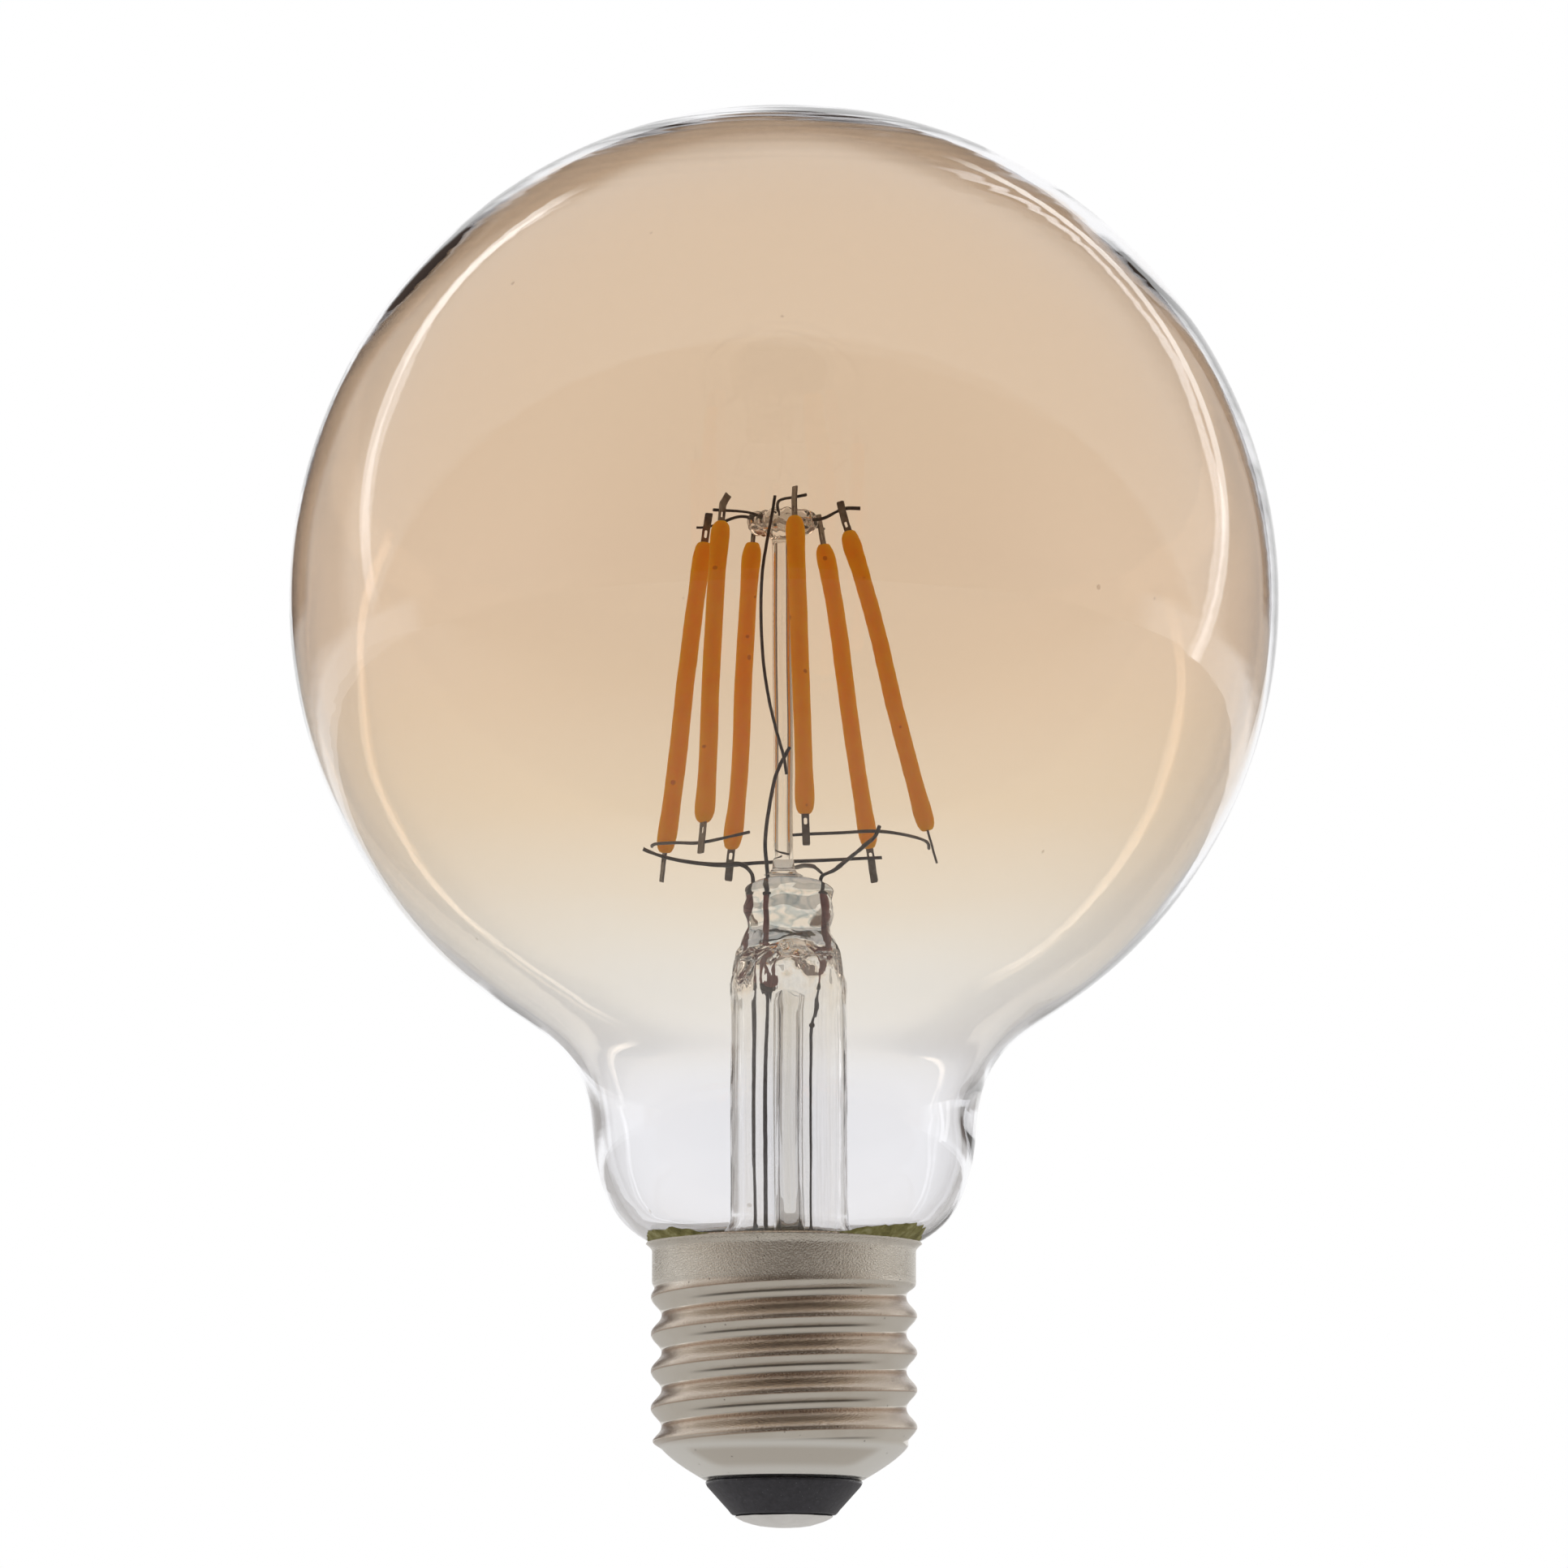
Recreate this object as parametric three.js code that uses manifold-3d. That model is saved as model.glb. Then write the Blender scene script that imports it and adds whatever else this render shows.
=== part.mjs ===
// Globe-shaped LED filament lamp with an Edison screw cap, all sizes in millimetres.
// +Z runs up the lamp's axis and the origin is the bottom of the centre contact.

import * as THREE from 'three';
import { mergeVertices } from 'three/addons/utils/BufferGeometryUtils.js';
import Module from 'manifold-3d';

const wasm = await Module();
wasm.setup();

// Overall sizes
const OVERALL_LENGTH = 140.7;
const GLOBE_DIAMETER = 98;
const GLASS_WALL = 0.8;
const NECK_RADIUS = 18.9;
const NECK_FILLET = 9.3;
const SHOULDER_RADIUS = 10.3;
const SHOULDER_CENTRE_Z = 37.1;

// Screw cap: E27 shell, insulator and contact
const THREAD_PITCH = 3.629;
const THREAD_CREST_RADIUS = 13.05;
const THREAD_DEPTH = 1.05;
const THREAD_CREST_Z = 20.67;
const THREAD_TOP_Z = 23.4;
const THREAD_BOTTOM_Z = 8.1;
const THREAD_FADE = 0.5;
const CAP_SHEET = 0.35;
const CAP_RIM_Z = 27.7;
const CAP_RIM_FLARE = 0.6;
const CAP_RIM_HEIGHT = 1.3;
const CAP_BAND_INSET = 0.1;
const CAP_BAND_RADIUS = THREAD_CREST_RADIUS - CAP_BAND_INSET;
const SKIRT_BOTTOM_Z = 4.7;
const INSULATOR_TOP_RADIUS = 7.6;
const INSULATOR_BOTTOM_RADIUS = 5.2;
const INSULATOR_LIP = 0.5;
const INSULATOR_BOTTOM_Z = 1.2;
const INSULATOR_PLUG = 2.4;
const CONTACT_RADIUS = 4.8;
const CONTACT_FLAT_RADIUS = 1;
const CONTACT_SHANK_RADIUS = 1.3;
const CONTACT_BORE_RADIUS = 0.6;

// Stem: flare tube, pinched press, exhaust tube and glass rod
const STEM_OFFSET_X = 0.5;
const STEM_RADIUS = 5.8;
const STEM_WALL = 0.9;
const PRESS_TOP_Z = 63.8;
const PRESS_WIDTH = 8.6;
const PRESS_DEPTH = 4.4;
const PRESS_HEIGHT = 7.6;
const PRESS_CORNER = 1.8;
const PRESS_ROOF = 2.2;
const EXHAUST_RADIUS = 1.5;
const EXHAUST_WALL = 0.6;
const EXHAUST_TIP_Z = 18.4;
const ROD_RADIUS = 1;
const ROD_SOCKET_DEPTH = 1.2;
const BUTTON_RADIUS = 3.8;
const BUTTON_THICKNESS = 2.3;

// Filament cage
const FOOT_RING_RADIUS = 13;
const FOOT_CENTRE_X = 1.44;
const FOOT_Z = 68;
const HEAD_RING_RADIUS = 7.4;
const HEAD_CENTRE_X = -0.56;
const PHOSPHOR_LENGTH = 31.2;
const PHOSPHOR_RADIUS = 0.88;
const PHOSPHOR_END_SWELL = 0.1;
const PHOSPHOR_TIP_RADIUS = 0.62;
const SUBSTRATE_WIDTH = 0.8;
const SUBSTRATE_THICKNESS = 0.3;
const TAB_WIDTH = 0.75;
const TAB_THICKNESS = 0.2;
const TAB_REACH = 3.1;
const TAB_ROOT = 1;
const TAB_SLOT_WIDTH = 0.32;
const TAB_SLOT_LENGTH = 0.7;

// Wires
const WIRE_RADIUS = 0.16;
const LEAD_RADIUS = 0.2;
const DUMET_RADIUS = 0.24;
const LEAD_LEFT_X = -3;
const LEAD_CENTRE_X = -1.55;
const LEAD_RIGHT_X = 3.6;

// Driver inside the cap
const BOARD_WIDTH = 19;
const BOARD_THICKNESS = 1;
const BOARD_FRONT_Y = 3;

// Clearances
const FIT_GAP = 0.3;
const SEAL_GAP = 0.1;
const WELD_GAP = 0.07;

// Number of sides on turned pieces
const SIDES_LARGE = 32;
const SIDES_MEDIUM = 24;
const SIDES_SMALL = 12;
const SIDES_WIRE = 6;

const degrees = Math.PI / 180;
const lamp = new THREE.Group();

// ---------------------------------------------------------------- materials

function material(color, roughness, metalness) {
  return new THREE.MeshStandardMaterial({ color, roughness, metalness });
}

const amberGlass = new THREE.MeshStandardMaterial({
  color: 0xe6c48f, roughness: 0.02, metalness: 0, transparent: true, opacity: 0.35,
});
const clearGlass = new THREE.MeshStandardMaterial({
  color: 0xeef2f4, roughness: 0.02, metalness: 0, transparent: true, opacity: 0.35,
});
const nickel = material(0xb3a997, 0.28, 1);
const contactMetal = material(0xc9c5bc, 0.35, 1);
const blackInsulator = material(0x2f2f36, 0.6, 0);
const capCement = material(0x8a8650, 0.85, 0);
const phosphor = material(0xc87d20, 0.6, 0);
const ceramic = material(0xe9e6dc, 0.5, 0);
const tabMetal = material(0x7d7267, 0.4, 1);
const nickelWire = material(0x5f564d, 0.4, 1);
const dumetWire = material(0x9c4a3c, 0.45, 0.8);
const leadWire = material(0x6d6c72, 0.4, 1);
const boardLaminate = material(0x2c6b3a, 0.6, 0);
const chipBlack = material(0x1c1c1f, 0.5, 0);
const capacitorSleeve = material(0x22345c, 0.4, 0);
const ferrite = material(0x3b3a3c, 0.7, 0);
const resistorBody = material(0x9fb4a0, 0.6, 0);
const wireSleeve = material(0xd8d2c4, 0.5, 0);

// ------------------------------------------------------------------ solids

function add(name, geometry, finish, parent = lamp) {
  const mesh = new THREE.Mesh(geometry, finish);
  mesh.name = name;
  parent.add(mesh);
  return mesh;
}

// Turns a closed geometry into a solid that can be joined and cut.
function solid(geometry) {
  const bare = geometry.clone();
  bare.deleteAttribute('normal');
  bare.deleteAttribute('uv');
  const merged = mergeVertices(bare, 1e-5);
  const index = merged.index.array;
  const triangles = [];
  for (let i = 0; i < index.length; i += 3) {
    const [a, b, c] = [index[i], index[i + 1], index[i + 2]];
    if (a !== b && b !== c && c !== a) triangles.push(a, b, c);
  }
  return new wasm.Manifold(new wasm.Mesh({
    numProp: 3,
    vertProperties: Float32Array.from(merged.attributes.position.array),
    triVerts: Uint32Array.from(triangles),
  }));
}

function geometryOf(body) {
  const mesh = body.getMesh();
  const geometry = new THREE.BufferGeometry();
  geometry.setAttribute('position', new THREE.BufferAttribute(mesh.vertProperties, 3));
  geometry.setIndex(new THREE.BufferAttribute(mesh.triVerts, 1));
  geometry.computeVertexNormals();
  return geometry;
}

// Turns a profile of [radius, z] points about the Z axis, outer wall going up.
function turned(profile, sides) {
  const points = profile.map(([radius, z]) => new THREE.Vector2(radius, z));
  return new THREE.LatheGeometry(points, sides).rotateX(90 * degrees);
}

// Turned piece whose profile closes on itself.
function turnedRing(profile, sides) {
  return turned([...profile, profile[0]], sides);
}

function cylinder(radius, bottom, top, x = 0, y = 0, sides = SIDES_SMALL) {
  return turned([[0, bottom], [radius, bottom], [radius, top], [0, top]], sides).translate(x, y, 0);
}

// Box from its lowest corner and its size.
function block(corner, size) {
  const [x, y, z] = corner;
  const [width, depth, height] = size;
  const middle = [x + width / 2, y + depth / 2, z + height / 2];
  return new THREE.BoxGeometry(width, depth, height).translate(...middle);
}

// Round wire along a smooth curve through the points.
function wire(points, radius, steps) {
  const section = new THREE.Shape();
  for (let i = 0; i < SIDES_WIRE; i += 1) {
    const angle = (i * 2 * Math.PI) / SIDES_WIRE;
    const [x, y] = [radius * Math.cos(angle), radius * Math.sin(angle)];
    if (i === 0) section.moveTo(x, y);
    else section.lineTo(x, y);
  }
  section.closePath();
  const extrudePath = new THREE.CatmullRomCurve3(points.map((p) => new THREE.Vector3(...p)));
  return new THREE.ExtrudeGeometry(section, { steps, bevelEnabled: false, extrudePath });
}

// Points on a circular arc in the [radius, z] plane, both ends included.
function arc(centre, radius, from, to, steps) {
  const points = [];
  for (let i = 0; i <= steps; i += 1) {
    const angle = from + ((to - from) * i) / steps;
    points.push([centre[0] + radius * Math.cos(angle), centre[1] + radius * Math.sin(angle)]);
  }
  return points;
}

const smooth = (low, high, value) => THREE.MathUtils.smoothstep(value, low, high);

// -------------------------------------------------------------- cap's shell

const shellBoreRadius = THREAD_CREST_RADIUS - THREAD_DEPTH - CAP_SHEET;

// Outer radius of the rolled shell: flared rim, plain band, thread and skirt.
function shellRadius(z, angle) {
  const turns = (z - THREAD_CREST_Z) / THREAD_PITCH - angle / (2 * Math.PI);
  const wave = (0.5 + 0.5 * Math.cos(2 * Math.PI * turns)) ** 1.2;
  const thread = THREAD_CREST_RADIUS - THREAD_DEPTH * (1 - wave);
  const flare = smooth(CAP_RIM_Z - CAP_RIM_HEIGHT, CAP_RIM_Z, z);
  const band = CAP_BAND_RADIUS + CAP_RIM_FLARE * flare;
  const skirtSpan = THREAD_BOTTOM_Z + THREAD_FADE - SKIRT_BOTTOM_Z;
  const drop = THREE.MathUtils.clamp((THREAD_BOTTOM_Z + THREAD_FADE - z) / skirtSpan, 0, 1);
  const skirtTop = THREAD_CREST_RADIUS - THREAD_DEPTH / 2;
  const skirt = skirtTop - (skirtTop - INSULATOR_TOP_RADIUS - FIT_GAP) * drop ** 1.5;
  const upper = THREE.MathUtils.lerp(
    thread, band, smooth(THREAD_TOP_Z - THREAD_FADE, THREAD_TOP_Z + THREAD_FADE, z));
  return THREE.MathUtils.lerp(
    skirt, upper, smooth(THREAD_BOTTOM_Z - THREAD_FADE, THREAD_BOTTOM_Z + THREAD_FADE, z));
}

function shellHeights() {
  const heights = [SKIRT_BOTTOM_Z];
  const skirtSteps = 3;
  const threadLow = THREAD_BOTTOM_Z - THREAD_FADE;
  for (let i = 1; i <= skirtSteps; i += 1) {
    heights.push(SKIRT_BOTTOM_Z + ((threadLow - SKIRT_BOTTOM_Z) * i) / skirtSteps);
  }
  const threadHigh = THREAD_TOP_Z + THREAD_FADE;
  const threadSteps = Math.round((5.5 * (threadHigh - threadLow)) / THREAD_PITCH);
  for (let i = 1; i <= threadSteps; i += 1) {
    heights.push(threadLow + ((threadHigh - threadLow) * i) / threadSteps);
  }
  const rimSteps = 3;
  const rimLow = CAP_RIM_Z - CAP_RIM_HEIGHT;
  for (let i = 0; i <= rimSteps; i += 1) {
    heights.push(rimLow + (CAP_RIM_HEIGHT * i) / rimSteps);
  }
  return heights;
}

// The thread is pressed into a turned sheet, so wall and thread move together.
function capShell() {
  const heights = shellHeights();
  const outer = heights.map((z) => [THREAD_CREST_RADIUS, z]);
  const inner = heights.map((z) => [THREAD_CREST_RADIUS - CAP_SHEET, z]).reverse();
  const geometry = turnedRing([...outer, ...inner], SIDES_LARGE);
  const position = geometry.attributes.position;
  for (let i = 0; i < position.count; i += 1) {
    const [x, y, z] = [position.getX(i), position.getY(i), position.getZ(i)];
    const radius = Math.hypot(x, y);
    const angle = Math.atan2(y, x);
    const pressed = radius - THREAD_CREST_RADIUS + shellRadius(z, angle);
    position.setXY(i, pressed * Math.cos(angle), pressed * Math.sin(angle));
  }
  return geometry;
}

add('cap_shell', capShell(), nickel);

// ------------------------------------------------------ insulator and contact

const skirtBore = shellRadius(SKIRT_BOTTOM_Z, 0) - CAP_SHEET;
const insulatorShoulderZ = SKIRT_BOTTOM_Z - SEAL_GAP;
const insulatorTopZ = SKIRT_BOTTOM_Z + INSULATOR_PLUG;
const plugRadius = skirtBore - FIT_GAP;
const contactBoreRadius = CONTACT_SHANK_RADIUS + SEAL_GAP;

add('cap_insulator', turnedRing([
  [contactBoreRadius, INSULATOR_BOTTOM_Z],
  [INSULATOR_BOTTOM_RADIUS - 0.2, INSULATOR_BOTTOM_Z],
  [INSULATOR_BOTTOM_RADIUS, INSULATOR_BOTTOM_Z + 0.15],
  [INSULATOR_TOP_RADIUS, insulatorShoulderZ - INSULATOR_LIP],
  [INSULATOR_TOP_RADIUS + 0.1, insulatorShoulderZ - INSULATOR_LIP / 2],
  [INSULATOR_TOP_RADIUS, insulatorShoulderZ],
  [plugRadius, insulatorShoulderZ],
  [plugRadius, insulatorTopZ],
  [contactBoreRadius, insulatorTopZ],
], SIDES_LARGE), blackInsulator);

const contactRimZ = INSULATOR_BOTTOM_Z - SEAL_GAP;

add('centre_contact', turned([
  [0, 0],
  [CONTACT_FLAT_RADIUS, 0],
  [0.55 * CONTACT_RADIUS, 0.17 * contactRimZ],
  [0.82 * CONTACT_RADIUS, 0.48 * contactRimZ],
  [CONTACT_RADIUS, contactRimZ],
  [CONTACT_SHANK_RADIUS, contactRimZ],
  [CONTACT_SHANK_RADIUS, insulatorTopZ + SEAL_GAP],
  [CONTACT_BORE_RADIUS, insulatorTopZ + SEAL_GAP],
  [CONTACT_BORE_RADIUS, contactRimZ],
  [0, contactRimZ],
], SIDES_MEDIUM), contactMetal);

// ------------------------------------------------------------ glass envelope

const globeRadius = GLOBE_DIAMETER / 2;
const globeCentreZ = OVERALL_LENGTH - globeRadius;
const tailRadius = shellBoreRadius - FIT_GAP;
const tailBottomZ = THREAD_TOP_Z - THREAD_PITCH / 4;

// Wall surface at a depth below the outside: globe, fillet, neck, shoulder and tail.
function envelopeSurface(depth) {
  const filletX = NECK_RADIUS + NECK_FILLET;
  const filletDistance = globeRadius + NECK_FILLET;
  const filletZ = globeCentreZ - Math.sqrt(filletDistance ** 2 - filletX ** 2);
  const joinAngle = Math.atan2(filletZ - globeCentreZ, filletX);
  const shoulderX = NECK_RADIUS - SHOULDER_RADIUS;
  const tailX = tailRadius - depth;
  const shoulderRadius = SHOULDER_RADIUS - depth;
  const tailAngle = -Math.acos((tailX - shoulderX) / shoulderRadius);
  const lower = arc([0, globeCentreZ], globeRadius - depth, joinAngle, 0, 6);
  const upper = arc([0, globeCentreZ], globeRadius - depth, 0, 90 * degrees, 8);
  const filletRadius = NECK_FILLET + depth;
  const fillet = arc([filletX, filletZ], filletRadius, 180 * degrees, joinAngle + Math.PI, 4);
  const neck = arc([shoulderX, SHOULDER_CENTRE_Z], shoulderRadius, tailAngle, 0, 6);
  upper[upper.length - 1][0] = 0;
  return [[tailX, tailBottomZ], ...neck, ...fillet, ...lower.slice(1), ...upper.slice(1)];
}

add('glass_envelope', turned(
  [...envelopeSurface(GLASS_WALL).reverse(), ...envelopeSurface(0)], SIDES_LARGE), amberGlass);

// Cement fills the wedge between the shell's band and the envelope's tail.
const cementOuter = CAP_BAND_RADIUS - CAP_SHEET - SEAL_GAP;
const shoulderLine = (radius) => SHOULDER_CENTRE_Z - SEAL_GAP * 2 - Math.sqrt(
  SHOULDER_RADIUS ** 2 - (radius - NECK_RADIUS + SHOULDER_RADIUS) ** 2);
const cementInner = tailRadius + SEAL_GAP;
const cementMiddle = (cementInner + cementOuter) / 2;
const cementBottomZ = THREAD_TOP_Z + THREAD_FADE;

add('cap_cement', turnedRing([
  [cementInner, cementBottomZ],
  [cementOuter, cementBottomZ],
  [cementOuter, CAP_RIM_Z - CAP_RIM_HEIGHT],
  [cementOuter + 0.15, CAP_RIM_Z - CAP_RIM_HEIGHT / 2],
  [cementOuter + 0.15, shoulderLine(cementOuter)],
  [cementMiddle, shoulderLine(cementMiddle)],
  [cementInner, shoulderLine(cementInner)],
], SIDES_LARGE), capCement);

// ---------------------------------------------------------------------- stem

const stem = new THREE.Group();
stem.position.x = STEM_OFFSET_X;
lamp.add(stem);

const pressBottomZ = PRESS_TOP_Z - PRESS_HEIGHT;
const flareLipRadius = tailRadius - GLASS_WALL - FIT_GAP - STEM_OFFSET_X;
const flareZ = CAP_RIM_Z + 1;
const flareBottomZ = tailBottomZ;
const cavityRoofZ = pressBottomZ - PRESS_ROOF;

// Tube that flares out at its foot and closes in a dome under the press.
function flareTube(depth) {
  const radius = STEM_RADIUS - depth;
  const lip = flareLipRadius - depth;
  const roof = pressBottomZ - (depth > 0 ? PRESS_ROOF : 0);
  const bottom = flareBottomZ - (depth > 0 ? 1 : 0);
  return solid(turned([
    [0, bottom],
    [lip, bottom],
    [lip, flareBottomZ + 0.6],
    [radius + 0.3 * (lip - radius), flareBottomZ + 0.6 * (flareZ - flareBottomZ)],
    [radius, flareZ],
    [radius, roof - 0.65 * STEM_RADIUS],
    [0.93 * radius, roof - 0.4 * STEM_RADIUS],
    [0.74 * radius, roof - 0.15 * STEM_RADIUS],
    [0.4 * radius, roof],
    [0, roof],
  ], SIDES_MEDIUM));
}

function pressBlock() {
  const half = PRESS_WIDTH / 2;
  const outline = new THREE.Shape();
  outline.moveTo(-half, 0);
  outline.lineTo(half, 0);
  outline.lineTo(half, PRESS_HEIGHT + 2 - PRESS_CORNER);
  outline.absarc(half - PRESS_CORNER, PRESS_HEIGHT + 2 - PRESS_CORNER, PRESS_CORNER, 0, Math.PI / 2);
  outline.lineTo(PRESS_CORNER - half, PRESS_HEIGHT + 2);
  outline.absarc(PRESS_CORNER - half, PRESS_HEIGHT + 2 - PRESS_CORNER, PRESS_CORNER,
    Math.PI / 2, Math.PI);
  outline.closePath();
  const bevel = 0.7;
  const geometry = new THREE.ExtrudeGeometry(outline, {
    depth: PRESS_DEPTH - 2 * bevel,
    bevelThickness: bevel,
    bevelSize: bevel,
    bevelOffset: -bevel,
    bevelSegments: 2,
    curveSegments: 4,
  });
  geometry.rotateX(90 * degrees);
  return solid(geometry.translate(0, PRESS_DEPTH / 2 - bevel, pressBottomZ - 2));
}

function leadHole(x) {
  return solid(cylinder(
    DUMET_RADIUS + SEAL_GAP, cavityRoofZ - 2, PRESS_TOP_Z + 1, x - STEM_OFFSET_X, 0, 8));
}

const rodSocket = solid(cylinder(
  ROD_RADIUS + SEAL_GAP, PRESS_TOP_Z - ROD_SOCKET_DEPTH, PRESS_TOP_Z + 1, -STEM_OFFSET_X));

add('stem_flare', geometryOf(flareTube(0)
  .add(pressBlock())
  .subtract(flareTube(STEM_WALL))
  .subtract(rodSocket)
  .subtract(leadHole(LEAD_LEFT_X))
  .subtract(leadHole(LEAD_CENTRE_X))
  .subtract(leadHole(LEAD_RIGHT_X))), clearGlass, stem);

const exhaustBore = EXHAUST_RADIUS - EXHAUST_WALL;
const exhaustTopZ = cavityRoofZ - 1;

add('exhaust_tube', turned([
  [0, EXHAUST_TIP_Z],
  [0.55 * EXHAUST_RADIUS, EXHAUST_TIP_Z + 0.5],
  [EXHAUST_RADIUS, EXHAUST_TIP_Z + 2.2],
  [EXHAUST_RADIUS, exhaustTopZ],
  [exhaustBore, exhaustTopZ],
  [exhaustBore, EXHAUST_TIP_Z + 2.6],
  [0, EXHAUST_TIP_Z + 1.4],
], SIDES_SMALL), clearGlass, stem);

// ----------------------------------------------------------------- filaments

// Azimuths in degrees about the foot and head rings, how far a foot sits below the
// ring, the way its foot tab's flat faces, and how far its head tab leans sideways.
// A head tab is welded `reach` above the phosphor to a hook that leaves the button
// `turn` degrees away, rises by `rise` and ends `past` the tab.
const filaments = [
  {
    name: 'left', foot: 174, head: -167, drop: 1.6, footFace: -155,
    lean: 0, reach: 1.5, turn: 0, rise: 0.5, past: 0.95,
  },
  {
    name: 'front_left', foot: -135, head: -139, drop: 0, footFace: -135,
    lean: 26, reach: 1.3, turn: 0, rise: 0.6, past: 0.8,
  },
  {
    name: 'back_left', foot: 120, head: 109, drop: 0.3, footFace: 90,
    lean: 0, reach: 1.8, turn: 0, rise: 0.3, past: 1.3,
  },
  {
    name: 'front', foot: -87, head: -76, drop: -0.2, footFace: -90,
    lean: 8, reach: 2.1, turn: -16, rise: 1.3, past: 1.4,
  },
  {
    name: 'back_right', foot: 56, head: 50, drop: 0.3, footFace: 90,
    lean: 0, reach: 1.7, turn: 0, rise: 0.2, past: 1.3,
  },
  {
    name: 'right', foot: -7, head: -13, drop: 0, footFace: 0,
    lean: 0, reach: 2.5, turn: 0, rise: 0.2, past: 1.8,
  },
];

function ringPoint(centreX, radius, azimuth, z) {
  const angle = azimuth * degrees;
  return new THREE.Vector3(centreX + radius * Math.cos(angle), radius * Math.sin(angle), z);
}

const [left, frontLeft, backLeft, front, backRight, right] = filaments;

for (const filament of filaments) {
  const foot = ringPoint(FOOT_CENTRE_X, FOOT_RING_RADIUS, filament.foot, FOOT_Z - filament.drop);
  const head = ringPoint(HEAD_CENTRE_X, HEAD_RING_RADIUS, filament.head, 0);
  const level = Math.hypot(head.x - foot.x, head.y - foot.y);
  head.z = foot.z + Math.sqrt(PHOSPHOR_LENGTH ** 2 - level ** 2);
  filament.footPoint = foot;
  filament.headPoint = head;
  filament.along = head.clone().sub(foot).normalize();
}

const buttonZ = (left.headPoint.z + right.headPoint.z + front.headPoint.z) / 3 + 1.4;

// Each head tab's flat lies along its hook, with the hook behind it.
for (const filament of filaments) {
  const tab = filament.headPoint.clone().addScaledVector(filament.along, filament.reach);
  const azimuth = Math.atan2(filament.headPoint.y, filament.headPoint.x) / degrees;
  filament.exit = ringPoint(0, 1.15 * BUTTON_RADIUS, azimuth + filament.turn,
    buttonZ + filament.rise);
  const hookAzimuth = Math.atan2(tab.y - filament.exit.y, tab.x - filament.exit.x) / degrees;
  const square = [hookAzimuth - 90, hookAzimuth + 90];
  filament.headFace = Math.sin(square[0] * degrees) < 0 ? square[0] : square[1];
}

// Rotation that lays local Z along a filament and local -Y as near as it can to an azimuth.
function facing(along, azimuth) {
  const angle = azimuth * degrees;
  const wanted = new THREE.Vector3(Math.cos(angle), Math.sin(angle), 0);
  const outward = wanted.addScaledVector(along, -wanted.dot(along)).normalize();
  const back = outward.negate();
  const side = new THREE.Vector3().crossVectors(back, along);
  return new THREE.Quaternion().setFromRotationMatrix(
    new THREE.Matrix4().makeBasis(side, back, along));
}

// Flat direction of a tab, seen from above.
function faceNormal(azimuth) {
  return new THREE.Vector3(Math.cos(azimuth * degrees), Math.sin(azimuth * degrees), 0);
}

function phosphorBody(footTurn, headTurn) {
  const swollen = PHOSPHOR_RADIUS + PHOSPHOR_END_SWELL;
  const half = [
    [PHOSPHOR_TIP_RADIUS, 0],
    [0.8 * swollen, 0.5],
    [swollen, 1.3],
    [PHOSPHOR_RADIUS, 3],
  ];
  const mirrored = half.map(([radius, z]) => [radius, PHOSPHOR_LENGTH - z]).reverse();
  const body = solid(turned([[0, 0], ...half, ...mirrored, [0, PHOSPHOR_LENGTH]], 10));
  const slotWidth = SUBSTRATE_WIDTH + SEAL_GAP;
  const slotDepth = SUBSTRATE_THICKNESS + SEAL_GAP;
  const slot = new THREE.BoxGeometry(slotWidth, slotDepth, PHOSPHOR_LENGTH - 2 * TAB_ROOT);
  const socketSize = [TAB_WIDTH + SEAL_GAP, TAB_THICKNESS + SEAL_GAP, 2 * TAB_ROOT + 0.2];
  const footSocket = new THREE.BoxGeometry(...socketSize).rotateZ(footTurn);
  const headSocket = new THREE.BoxGeometry(...socketSize).rotateZ(headTurn);
  return geometryOf(body
    .subtract(solid(slot.translate(0, 0, PHOSPHOR_LENGTH / 2)))
    .subtract(solid(footSocket))
    .subtract(solid(headSocket.translate(0, 0, PHOSPHOR_LENGTH))));
}

// Flat strip with a slot near the phosphor, its outer part leaning to one side.
function endTab(lean) {
  const rootZ = SEAL_GAP - TAB_ROOT;
  const elbowZ = TAB_SLOT_LENGTH + 1.1;
  const strip = (low, high) => block(
    [-TAB_WIDTH / 2, -TAB_THICKNESS / 2, low], [TAB_WIDTH, TAB_THICKNESS, high - low]);
  const slot = block([-TAB_SLOT_WIDTH / 2, -1, 0.4], [TAB_SLOT_WIDTH, 2, TAB_SLOT_LENGTH]);
  if (lean === 0) return geometryOf(solid(strip(rootZ, TAB_REACH)).subtract(solid(slot)));
  const outer = strip(0, TAB_REACH - elbowZ).rotateY(lean * degrees).translate(0, 0, elbowZ);
  const elbow = cylinder(TAB_WIDTH / 2, -TAB_THICKNESS / 2, TAB_THICKNESS / 2)
    .rotateX(90 * degrees).translate(0, 0, elbowZ);
  return geometryOf(solid(strip(rootZ, elbowZ))
    .subtract(solid(slot))
    .add(solid(outer))
    .add(solid(elbow)));
}

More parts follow.
